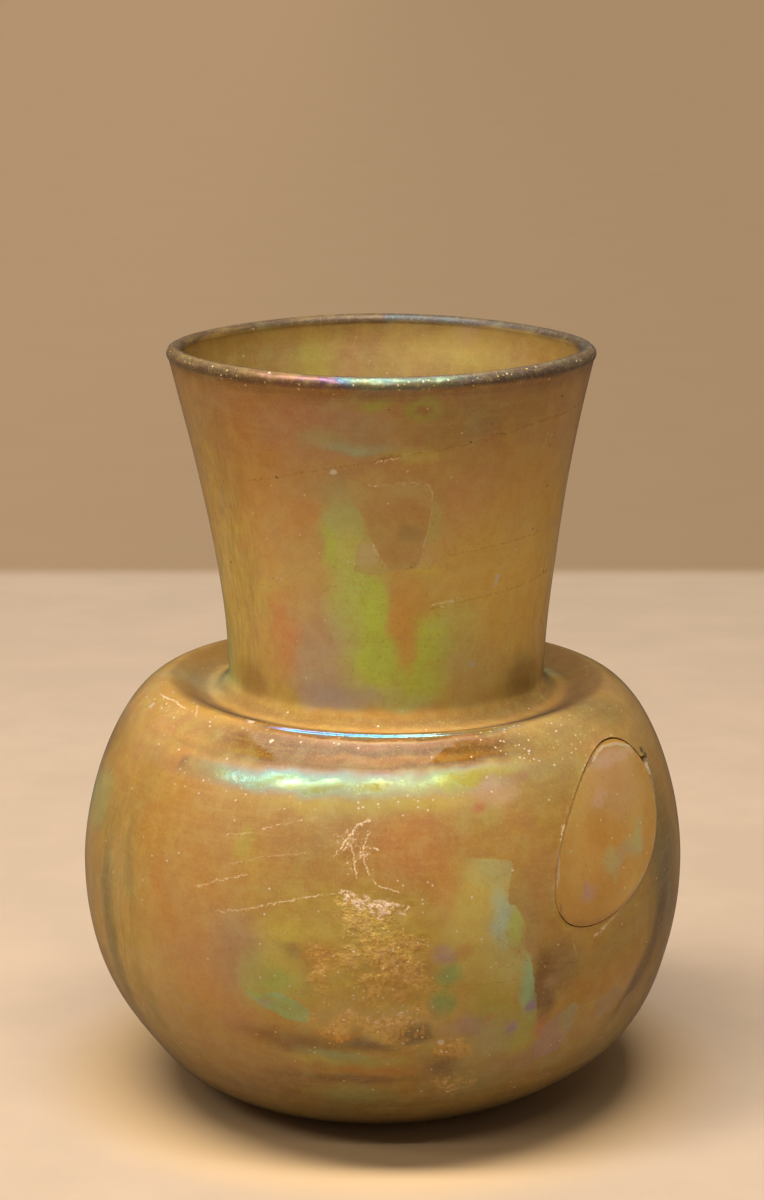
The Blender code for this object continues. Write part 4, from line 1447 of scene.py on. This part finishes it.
@dataclass(frozen=True)
class Relief:
    """Pits, dents and waves of the surface, all pressed inwards. Sizes and depths are in millimetres."""

    wave_size: float = 13.0
    wave_depth: float = 0.05
    dent_size: float = 5.0
    dent_depth: float = 0.016
    pit_size: float = 1.1
    pit_depth: float = 0.16
    lip_nicks: float = 0.12

    def press(self, canvas: Canvas) -> None:
        """Moves the outer face of a piece inwards.

        Args:
            canvas: The piece's canvas, whose places are kept up to date.
        """
        waves = self.wave_depth * (1 + canvas.cloud(self.wave_size, 31, 2))
        dents = self.dent_depth * (1 + canvas.cloud(self.dent_size, 32, 2))
        crust = strongest(canvas, CRUSTS + BLOOMS)
        pits = self.pit_depth * crust * eased(0.5 + 1.2 * canvas.cloud(self.pit_size, 33, 2))
        lip = eased((canvas.rises - 82.4) / 0.8)
        nicks = self.lip_nicks * lip * eased(0.2 + 1.4 * canvas.cloud(1.8, 34, 2))
        above = eased((canvas.rises + 36) / 4)
        pressed = np.clip(waves, 0, 1) + np.clip(dents, 0, 1) + pits + nicks
        depth = pressed * canvas.outside * above * MM
        flat = np.empty(3 * len(canvas.places))
        canvas.mesh.vertices.foreach_get("normal", flat)
        canvas.places -= flat.reshape(-1, 3) * depth[:, None]
        canvas.mesh.vertices.foreach_set("co", canvas.places.ravel())
        canvas.mesh.update()


@dataclass
class Painting:
    """Everything that is painted on the blown vessel."""

    canvas: Canvas
    scattered: int = 110
    seed: int = 11
    inner_olive: float = 0.7
    palest: float = 0.82
    front_azimuth: float = -4.0
    bare_from: float = 22.6
    bare_to: float = 28.2
    bare_film: float = 112.0
    bare_loss: float = 0.6
    film: float = 222.0
    film_clouds: float = 16.0
    film_specks: float = 5.0
    hue_specks: float = 7.0
    film_kept: float = 0.12

    def scatter(self) -> list[Stain]:
        """Stains like those of the front for the sides and the back, which the photograph hides."""
        draw = np.random.RandomState(self.seed)
        made = []
        for count in range(self.scattered):
            azimuth = between(draw, 80, 280)
            rise = between(draw, -34, 80)
            across = between(draw, 2.0, 8.0)
            along = across * between(draw, 0.35, 1.15)
            paint = SCATTERED_PAINTS[draw.randint(len(SCATTERED_PAINTS))]
            strength = between(draw, 0.3, 0.75)
            roll = between(draw, -20, 20)
            name = f"scattered stain {count + 1}"
            made.append(Stain(name, azimuth, rise, across, along, paint, strength, roll, 0.7, 2.0))
        return made

    def glass(self) -> np.ndarray:
        """The paint of the glass and its soft stains, with painted light and shade by height: gains of
        red, green and blue that darken the lower body and lighten the neck.
        """
        canvas = self.canvas
        layer = canvas.layer(Tone.AMBER)
        inside = (1 - canvas.outside)[:, None]
        layer += (np.array(Tone.OLIVE.colour) - layer) * self.inner_olive * inside
        stains = NECK_STAINS + SHOULDER_STAINS + BODY_STAINS + INNER_STAINS
        for mark in (*MOTTLES, *self.scatter(), *stains, *BANDS):
            mark.brush(canvas, layer)
        # The gains paint light and shade into the glass by height.
        for channel, gains in enumerate(LIGHT_AND_SHADE_GAINS):
            layer[:, channel] *= np.interp(canvas.rises, LIGHT_AND_SHADE_RISES, gains)
        return np.clip(layer, 0.0, self.palest)

    def front(self, reach: float, half: float) -> np.ndarray:
        """1 round the front, fading to 0 towards the sides at reach times this half-width in degrees."""
        return eased(reach - np.abs(self.canvas.azimuths - self.front_azimuth) / half)

    def bare(self) -> np.ndarray:
        """How far the crest has lost its film and lies under a dull skin that hardly mirrors."""
        rises = self.canvas.rises + 0.4 * self.canvas.warp[1]
        ring = eased((rises - self.bare_from) / 1.2) * eased((self.bare_to - rises) / 1.0)
        return ring * self.front(1.7, 30)

    def film_depth(self) -> np.ndarray:
        """Thickness of the iridescent film, in nanometres, which gives the shine its hues."""
        canvas = self.canvas
        depth = self.film + self.film_clouds * canvas.cloud(7.0, 7)
        depth += self.film_specks * canvas.cloud(0.9, 8, 2)
        fine = self.hue_specks * canvas.cloud(1.2, 9, 2)
        for hue in HUES:
            hue.lay(canvas, depth, fine)
        depth += (self.bare_film - depth) * self.bare()
        return depth

    def film_strength(self) -> np.ndarray:
        """How well the film is kept: 1 where it shines, 0 where lost, less where the skin is dull."""
        canvas = self.canvas
        strength = self.film_kept + 0.1 * canvas.cloud(5.0, 17)
        strength -= self.bare_loss * self.bare()
        worn = 0.9 + 0.3 * canvas.cloud(4.0, 18, 2)
        for stain in SHINES:
            cover = stain.cover(canvas)
            strength = np.where(cover > 0, np.maximum(strength, cover * worn), strength)
        return np.clip(strength, -0.5, 1.0)

    def lay(self) -> None:
        """Works out every layer and keeps it on the mesh."""
        canvas = self.canvas
        glass = self.glass()
        film = glass.copy()
        edge = np.full(len(glass), -UNREACHED)
        for flake in FLAKES:
            flake.lay(canvas, film, edge)
        canvas.keep("glass_paint", glass)
        canvas.keep("film_paint", film)
        canvas.keep("film_edge", np.maximum(edge, -5.0))
        keep_lines(canvas, LINES + OVAL_LINES, 3)
        dots = np.zeros((len(glass), 3))
        dots[:, :2] = FAR
        tints = np.zeros(len(glass))
        for dot in DOTS:
            dot.lay(canvas, dots, tints)
        canvas.keep("dots", dots)
        canvas.keep("dot_tint", tints)
        canvas.keep("crust", strongest(canvas, CRUSTS))
        canvas.keep("bloom", strongest(canvas, BLOOMS))
        canvas.keep("streak", strongest(canvas, STREAKS))
        canvas.keep("fleck_and_glint", strongest(canvas, FLECKS_AND_GLINTS))
        canvas.keep("film_depth", self.film_depth())
        canvas.keep("film_strength", self.film_strength())
        canvas.keep("rise", canvas.rises)
        canvas.keep("collar", self.front(1.9, 26))
        canvas.keep("grime", strongest(canvas, GRIME))


@dataclass
class PatchPainting:
    """What is painted on the oval piece, with the join's light and dark edges."""

    canvas: Canvas

    def lay(self) -> None:
        """Works out the layers and keeps them on the mesh."""
        canvas = self.canvas
        layer = canvas.layer(Tone.AMBER)
        for mark in (PATCH_MOTTLE, *PATCH_STAINS):
            mark.brush(canvas, layer)
        canvas.keep("glass_paint", layer)
        keep_lines(canvas, OVAL_LINES, 2)


class Graph:
    """A hand for joining the nodes of one finish."""

    def __init__(self, name: str) -> None:
        """Starts a material of this name."""
        self.material = bpy.data.materials.new(name)
        self.material.use_nodes = True
        self.nodes = self.material.node_tree.nodes
        self.links = self.material.node_tree.links
        self.shader = self.nodes["Principled BSDF"]
        self.place = self.nodes.new("ShaderNodeTexCoord").outputs["Object"]

    def put(self, socket: Socket, value: Value | Colour) -> None:
        """Links a socket, or sets it to a plain value."""
        if isinstance(value, Socket):
            self.links.new(value, socket)
        else:
            socket.default_value = value

    def set(self, **values: Value | Colour) -> None:
        """Sets the shader's sockets; a name's low lines stand for spaces."""
        for name, value in values.items():
            self.put(self.shader.inputs[name.replace("_", " ")], value)

    def attribute(self, name: str, output: str = "Fac") -> Socket:
        """One of the mesh's painted layers."""
        node = self.nodes.new("ShaderNodeAttribute")
        node.attribute_name = name
        return node.outputs[output]

    def parts(self, vector: Socket) -> tuple[Socket, ...]:
        """The three parts of a vector."""
        node = self.nodes.new("ShaderNodeSeparateXYZ")
        self.links.new(vector, node.inputs[0])
        return tuple(node.outputs)

    def math(self, operation: str, first: Value, second: Value = 0.0, third: Value = 0.0) -> Socket:
        """One sum."""
        node = self.nodes.new("ShaderNodeMath")
        node.operation = operation
        for socket, value in zip(node.inputs, (first, second, third)):
            self.put(socket, value)
        return node.outputs[0]

    def plus(self, first: Value, second: Value) -> Socket:
        """Adds two values."""
        return self.math("ADD", first, second)

    def times(self, first: Value, second: Value) -> Socket:
        """Multiplies two values."""
        return self.math("MULTIPLY", first, second)

    def line(self, value: Value, slope: float, start: Value) -> Socket:
        """A straight line through start, with this slope."""
        return self.math("MULTIPLY_ADD", value, slope, start)

    def length(self, first: Value, second: Value) -> Socket:
        """The distance that two legs at a right angle span."""
        squares = self.plus(self.math("POWER", first, 2.0), self.math("POWER", second, 2.0))
        return self.math("SQRT", squares)

    def step(self, value: Value, low: Value, high: Value, end: float = 1.0) -> Socket:
        """A smooth step from 0 at low to end at high."""
        node = self.nodes.new("ShaderNodeMapRange")
        node.interpolation_type = "SMOOTHSTEP"
        for name, number in (("Value", value), ("From Min", low), ("From Max", high), ("To Max", end)):
            self.put(node.inputs[name], number)
        return node.outputs[0]

    def mix(
        self, share: Value, first: Value | Colour, second: Value | Colour, blend: str = "MIX"
    ) -> Socket:
        """Mixes two colours."""
        node = self.nodes.new("ShaderNodeMix")
        node.data_type = "RGBA"
        node.blend_type = blend
        for socket, value in ((node.inputs[0], share), (node.inputs[6], first), (node.inputs[7], second)):
            self.put(socket, value)
        return node.outputs[2]

    def veil(
        self, base: Value | Colour, where: Value, low: float, high: float, most: float, paint: Tone
    ) -> Socket:
        """Lays a paint over a colour.

        Args:
            base: The colour so far.
            where: The value that decides where the paint lies.
            low: The value up to which there is none.
            high: The value from which it is strongest.
            most: How strong that is.
            paint: The paint.

        Returns:
            The new colour.
        """
        return self.mix(self.step(where, low, high, most), base, paint.colour)

    def spread(self, stretch: Size) -> Socket:
        """The object's coordinates divided by these sizes in millimetres."""
        node = self.nodes.new("ShaderNodeMapping")
        self.links.new(self.place, node.inputs["Vector"])
        node.inputs["Scale"].default_value = [1 / (size * MM) for size in stretch]
        return node.outputs[0]

    def noise(self, size: Size | float, detail: float = 2.0, rough: float = 0.5) -> Socket:
        """Noise from 0 to 1 whose lumps have this size in millimetres."""
        node = self.nodes.new("ShaderNodeTexNoise")
        stretch = size if isinstance(size, tuple) else (size, size, size)
        self.links.new(self.spread(stretch), node.inputs["Vector"])
        node.inputs["Scale"].default_value = 1.0
        node.inputs["Detail"].default_value = detail
        node.inputs["Roughness"].default_value = rough
        return node.outputs["Fac"]

    def cells(self, size: float) -> tuple[Socket, Socket]:
        """Distance from the nearest of scattered points, in cells, and that cell's random number."""
        node = self.nodes.new("ShaderNodeTexVoronoi")
        self.links.new(self.spread((size, size, size)), node.inputs["Vector"])
        node.inputs["Scale"].default_value = 1.0
        return node.outputs["Distance"], self.parts(node.outputs["Color"])[0]

    def lines(
        self, base: Value, sets: int, wander: Value, breaks: Value
    ) -> tuple[Socket, Socket]:
        """Draws the mesh's fine lines over a colour.

        Args:
            base: The colour so far.
            sets: How many sets of lines the mesh has.
            wander: How far a line strays from its route, in millimetres.
            breaks: 0 where a line is broken off.

        Returns:
            The new colour and how strongly the surface is etched.
        """
        etched = 0.0
        for number in range(sets):
            apart, width, pale = self.parts(self.attribute(f"lines_{number}", "Vector"))
            apart = self.math("ABSOLUTE", self.plus(apart, wander))
            line = self.step(self.math("DIVIDE", apart, self.math("MAXIMUM", width, 0.001)), 1.1, 0.3)
            line = self.times(self.times(line, breaks), self.step(width, 0.0, 0.05))
            paint = self.mix(pale, Tone.UMBER.colour, Tone.IVORY.colour)
            strength = self.line(pale, 0.3, 0.38)
            base = self.mix(self.times(line, strength), base, paint)
            etched = self.math("MAXIMUM", etched, line)
        return base, etched

    def bump(self, height: Value, strength: float, distance: float) -> None:
        """Gives the shader a relief whose heights are in units of this distance."""
        node = self.nodes.new("ShaderNodeBump")
        node.inputs["Strength"].default_value = strength
        node.inputs["Distance"].default_value = distance
        self.links.new(height, node.inputs["Height"])
        self.links.new(node.outputs["Normal"], self.shader.inputs["Normal"])


@dataclass(frozen=True)
class WeatheredGlass:
    """Old amber glass under an iridescent film that has stained, scratched and crusted over."""

    clearness: float = 0.4
    dull: float = 0.66
    gloss: float = 0.18
    glass_index: float = 1.5
    film_index: float = 2.05
    relief: float = 0.0001
    collar_low: float = 28.1
    collar_high: float = 28.9
    collar_height: float = 5.0

    def colour(self, graph: Graph, fine: Value, small: Value, middle: Value) -> Socket:
        """The paint of glass and film with the mottling of both.

        Args:
            graph: The finish's graph.
            fine: Noise of the finest size.
            small: Noise of crumb size.
            middle: Noise of a few millimetres.

        Returns:
            The colour before crust, lines and flecks.
        """
        edge = graph.line(small, 0.6, graph.attribute("film_edge"))
        film = graph.attribute("film_paint", "Color")
        base = graph.mix(graph.step(edge, 0.2, 0.38), graph.attribute("glass_paint", "Color"), film)
        base = graph.mix(graph.step(middle, 0.35, 0.65, 0.2), base, Tone.ORANGE.colour, "MULTIPLY")
        base = graph.veil(base, middle, 0.5, 0.3, 0.14, Tone.SAGE)
        base = graph.veil(base, small, 0.46, 0.3, 0.3, Tone.DEEP_AMBER)
        base = graph.veil(base, small, 0.54, 0.72, 0.3, Tone.PALE_AMBER)
        base = graph.veil(base, fine, 0.45, 0.25, 0.24, Tone.BROWN)
        base = graph.veil(base, fine, 0.5, 0.75, 0.25, Tone.STRAW)
        blown = graph.step(graph.noise((9.0, 9.0, 0.5), 2.0, 0.6), 0.45, 0.75, 0.2)
        base = graph.mix(blown, base, Tone.PALE_AMBER.colour)
        streaks = graph.step(graph.noise((0.6, 0.6, 6.0), 2.0, 0.6), 0.36, 0.7)
        streaks = graph.times(streaks, graph.times(graph.attribute("streak"), 0.42))
        return graph.mix(streaks, base, Tone.MOSS.colour)

    def crusted(
        self, graph: Graph, base: Value, fine: Value, small: Value, middle: Value
    ) -> tuple[Socket, Socket, Socket]:
        """Lays the crumbling crust and the white bloom over the paint.

        Args:
            graph: The finish's graph.
            base: The colour so far.
            fine: Noise of the finest size.
            small: Noise of crumb size.
            middle: Noise of a few millimetres.

        Returns:
            The new colour, and how much crust and how much bloom there is.
        """
        crust = graph.line(middle, 1.0, graph.times(small, 0.5))
        crust = graph.plus(crust, graph.attribute("crust"))
        crust = graph.step(crust, 1.22, 1.62)
        paint = graph.mix(graph.step(small, 0.38, 0.58), Tone.BROWN.colour, Tone.PALE_AMBER.colour)
        paint = graph.mix(graph.step(middle, 0.42, 0.58, 0.55), paint, Tone.STONE.colour)
        base = graph.mix(graph.times(crust, 0.5), base, paint)
        bloom = graph.line(graph.attribute("bloom"), 0.5, small)
        bloom = graph.step(bloom, 0.9, 1.06)
        base = graph.mix(graph.times(bloom, 0.75), base, Tone.BLUSH.colour)
        bright = graph.times(bloom, graph.step(fine, 0.5, 0.62))
        base = graph.mix(graph.times(bright, 0.7), base, Tone.IVORY.colour)
        return base, crust, bloom

    def lined(
        self, graph: Graph, base: Value, wander: Value, breaks: Value
    ) -> tuple[Socket, Socket]:
        """Draws the trails, scratches and cracks, then the seeds.

        Args:
            graph: The finish's graph.
            base: The colour so far.
            wander: How far a line strays from its route, in millimetres.
            breaks: 0 where a line is broken off.

        Returns:
            The new colour and how strongly the surface is etched.
        """
        base, etched = graph.lines(base, 3, wander, breaks)
        along, up, radius = graph.parts(graph.attribute("dots", "Vector"))
        along = graph.plus(along, wander)
        distance = graph.length(along, up)
        dot = graph.step(graph.math("DIVIDE", distance, graph.math("MAXIMUM", radius, 0.001)), 1.25, 0.75)
        dot = graph.times(dot, graph.step(radius, 0.0, 0.1))
        paint = graph.mix(graph.attribute("dot_tint"), Tone.UMBER.colour, Tone.IVORY.colour)
        return graph.mix(graph.times(dot, 0.9), base, paint), etched

    def lay_flecks_and_glints(self, graph: Graph, base: Value) -> Socket:
        """Scatters tiny bright flecks over a colour: partly the film's own flecks, partly painted glints.
        """
        gap, chance = graph.cells(0.62)
        most = graph.line(graph.attribute("fleck_and_glint"), 0.42, 0.012)
        lit = graph.math("LESS_THAN", chance, most)
        fleck_and_glint = graph.times(graph.step(gap, 0.3, 0.16), lit)
        paint = graph.mix(graph.step(chance, 0.1, 0.2), Tone.IVORY.colour, Tone.STRAW.colour)
        return graph.mix(graph.times(fleck_and_glint, 0.85), base, paint)

    def relieve(self, graph: Graph, crust: Value, small: Value, middle: Value) -> None:
        """Gives the shader the relief of the crust and of the fold that makes the line in the crease.

        Args:
            graph: The finish's graph.
            crust: How much crust there is.
            small: Noise of crumb size.
            middle: Noise of a few millimetres.
        """
        height = graph.times(middle, 0.14)
        height = graph.plus(height, graph.times(graph.times(crust, small), 1.3))
        rise = graph.attribute("rise")
        collar = graph.step(rise, self.collar_low, self.collar_high, self.collar_height)
        collar = graph.times(collar, graph.attribute("collar"))
        graph.bump(graph.plus(height, collar), 1.0, self.relief)

    def build(self) -> bpy.types.Material:
        """The finish's material."""
        graph = Graph("weathered_glass")
        fine = graph.noise(0.26, 2.0, 0.6)
        small = graph.noise(0.6, 3.0, 0.68)
        middle = graph.noise(2.2, 3.0, 0.62)
        base = self.colour(graph, fine, small, middle)
        base, crust, bloom = self.crusted(graph, base, fine, small, middle)
        wander = graph.line(small, 1.3, -0.65)
        breaks = graph.times(graph.step(middle, 0.34, 0.46), graph.step(fine, 0.36, 0.5))
        base, etched = self.lined(graph, base, wander, breaks)
        # Pale flecks, partly painted glints.
        base = self.lay_flecks_and_glints(graph, base)
        matt = graph.math("MAXIMUM", crust, graph.math("MAXIMUM", bloom, etched))
        matt = graph.math("MAXIMUM", matt, graph.attribute("grime"))
        strength = graph.times(graph.attribute("film_strength"), graph.line(small, 1.0, 0.55))
        strength = graph.times(strength, graph.math("SUBTRACT", 1.0, graph.times(matt, 0.6)))
        self.relieve(graph, crust, small, middle)
        rough = graph.line(strength, self.gloss - self.dull, self.dull)
        rough = graph.plus(rough, graph.line(middle, 0.12, -0.06))
        rough = graph.line(matt, 0.25, rough)
        index = graph.line(strength, self.film_index - self.glass_index, self.glass_index)
        graph.set(
            Base_Color=base,
            Roughness=rough,
            IOR=self.glass_index,
            Transmission_Weight=graph.line(matt, -0.3, self.clearness),
            Thin_Film_Thickness=graph.attribute("film_depth"),
            Thin_Film_IOR=index,
        )
        return graph.material


@dataclass(frozen=True)
class PatchGlass:
    """The even, satin amber glass of the oval piece."""

    clearness: float = 0.4
    gloss: float = 0.42

    def build(self) -> bpy.types.Material:
        """The finish's material."""
        graph = Graph("patch_glass")
        fine = graph.noise(0.28, 2.0, 0.6)
        small = graph.noise(0.9, 3.0, 0.65)
        base = graph.attribute("glass_paint", "Color")
        base = graph.veil(base, small, 0.52, 0.7, 0.35, Tone.PALE_AMBER)
        base = graph.veil(base, small, 0.46, 0.3, 0.3, Tone.DEEP_AMBER)
        base = graph.veil(base, fine, 0.45, 0.25, 0.25, Tone.BROWN)
        clouds = graph.noise((3.0, 3.0, 0.8), 3.0, 0.6)
        base = graph.veil(base, clouds, 0.55, 0.72, 0.25, Tone.SAGE)
        wander = graph.line(small, 0.8, -0.4)
        base, etched = graph.lines(base, 2, wander, graph.step(fine, 0.3, 0.45))
        gap, chance = graph.cells(0.8)
        fleck = graph.times(graph.step(gap, 0.25, 0.12), graph.math("LESS_THAN", chance, 0.08))
        base = graph.mix(graph.times(fleck, 0.7), base, Tone.IVORY.colour)
        rough = graph.line(small, 0.2, self.gloss - 0.1)
        graph.bump(graph.line(small, 1.0, etched), 0.6, 0.00005)
        graph.set(Base_Color=base, Roughness=rough, IOR=1.5, Transmission_Weight=self.clearness)
        return graph.material


@dataclass(frozen=True)
class TableCloth:
    """The pale table, with painted amber light in the bottle's shadow, which turns into a darker backdrop
    behind the bottle; the far table and the backdrop glow, and the backdrop is painted lighter at the
    left.
    """

    near: str = "9d8974"
    amber_light_in_shadow: str = "b6976d"
    warm_from: float = 0.034
    warm_to: float = 0.051
    far: str = "d8bc9b"
    left_backdrop: str = "b2926f"
    right_backdrop: str = "a88a68"
    table_end: float = 0.307
    blur: float = 0.01
    lit_from: float = 0.5
    lit_to: float = 1.1

    def build(self) -> bpy.types.Material:
        """The finish's material."""
        graph = Graph("table_cloth")
        across, away, _ = graph.parts(graph.place)
        cloth = graph.veil(tone(self.near), graph.noise(0.5, 2.0, 0.6), 0.3, 0.7, 0.10, Tone.STONE)
        cloth = graph.veil(cloth, graph.noise(26.0, 3.0, 0.6), 0.35, 0.7, 0.08, Tone.BLUSH)
        radius = graph.length(across, away)
        # Painted amber light in the bottle's shadow: the cloth round the bottle is warmer, as if lit
        # through the glass.
        cloth = graph.mix(graph.step(radius, self.warm_to, self.warm_from), cloth, tone(self.amber_light_in_shadow))
        graph.set(Base_Color=cloth, Roughness=0.9)
        beyond = graph.step(away, self.table_end - self.blur, self.table_end + self.blur)
        # The backdrop glows and is painted lighter at the left: painted light.
        side = graph.step(across, -0.12, 0.14)
        backdrop = graph.mix(side, tone(self.left_backdrop), tone(self.right_backdrop))
        backdrop = graph.veil(backdrop, graph.noise(30.0, 3.0, 0.6), 0.3, 0.7, 0.02, Tone.BLUSH)
        glow = graph.nodes.new("ShaderNodeEmission")
        graph.put(glow.inputs["Color"], graph.mix(beyond, tone(self.far), backdrop))
        lit = graph.math("MAXIMUM", beyond, graph.step(radius, self.lit_from, self.lit_to))
        mixer = graph.nodes.new("ShaderNodeMixShader")
        graph.put(mixer.inputs[0], lit)
        graph.links.new(graph.shader.outputs[0], mixer.inputs[1])
        graph.links.new(glow.outputs[0], mixer.inputs[2])
        graph.links.new(mixer.outputs[0], graph.nodes["Material Output"].inputs["Surface"])
        return graph.material


@dataclass(frozen=True)
class Lamp:
    """A soft strip light that hangs level, its length from left to right."""

    name: str
    place: tuple[float, float, float]
    width: float
    length: float
    power: float
    colour: Colour = (1.0, 0.96, 0.9, 1.0)

    def build(self) -> None:
        """Adds the lamp."""
        light = bpy.data.lights.new(self.name, "AREA")
        light.shape = "RECTANGLE"
        light.size = self.length
        light.size_y = self.width
        light.energy = self.power
        light.color = self.colour[:3]
        made = bpy.data.objects.new(self.name, light)
        made.location = self.place
        bpy.context.scene.collection.objects.link(made)


@dataclass
class Studio:
    """A pale table, three soft strip lamps and the camera."""

    table_half: float = 4.0
    camera_place: tuple[float, float, float] = (-0.0001, -0.4199, 0.1668)
    camera_pitch: float = math.radians(13.365)
    lens: float = 96.0
    ambient: float = 0.175

    def floor(self) -> None:
        """The table top that the bottle stands on."""
        shape = bmesh.new()
        bmesh.ops.create_grid(shape, x_segments=2, y_segments=2, size=self.table_half)
        made = new_object("table_top", shape)
        made.data.materials.append(TableCloth().build())

    def lamps(self) -> None:
        """The key lamp nearly overhead, two weaker lamps and the light of the room."""
        Lamp("key lamp", (-0.16, -0.17, 1.0), 0.18, 0.9, 22.8).build()
        Lamp("front lamp", (-0.25, -0.74, 1.0), 0.06, 1.4, 5.3).build()
        Lamp("left lamp", (-1.1, -0.46, 1.0), 0.14, 0.8, 4.0).build()
        world = bpy.data.worlds.new("room light")
        world.use_nodes = True
        background = world.node_tree.nodes["Background"]
        background.inputs["Color"].default_value = (1.0, 0.93, 0.85, 1.0)
        background.inputs["Strength"].default_value = self.ambient
        bpy.context.scene.world = world

    def camera(self) -> None:
        """The camera at the photograph's place and angle."""
        lens = bpy.data.cameras.new("camera")
        lens.lens = self.lens
        lens.sensor_width = 36.0
        lens.clip_start = 0.01
        made = bpy.data.objects.new("camera", lens)
        made.location = self.camera_place
        made.rotation_euler = (math.pi / 2 - self.camera_pitch, 0.0, 0.0)
        bpy.context.scene.collection.objects.link(made)
        bpy.context.scene.camera = made

    def build(self) -> None:
        """Sets everything up."""
        self.camera()
        self.floor()
        self.lamps()
        bpy.context.scene.view_settings.view_transform = "Standard"


def main() -> None:
    """Builds the studio, the vessel and its oval piece, and reports each piece."""
    Studio().build()
    wall = Wall(Outline())
    oval = OvalPiece(wall)
    bottle = Bottle(wall, oval).build()
    canvas = Canvas(bottle, wall)
    Painting(canvas).lay()
    Relief().press(canvas)
    patch = oval.build()
    PatchPainting(Canvas(patch, wall)).lay()
    pieces = (
        (bottle, "bottle", "weathered_glass", WeatheredGlass()),
        (patch, "oval_patch", "patch_glass", PatchGlass()),
    )
    for piece, node, slot, finish in pieces:
        piece.data.materials.clear()
        piece.data.materials.append(finish.build())
        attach(piece, "root")
        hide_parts(node)
        log.info("%s: %d faces", piece.name, len(piece.data.polygons))


if __name__ == "__main__":
    logging.basicConfig(level=logging.INFO, format="%(message)s")
    main()
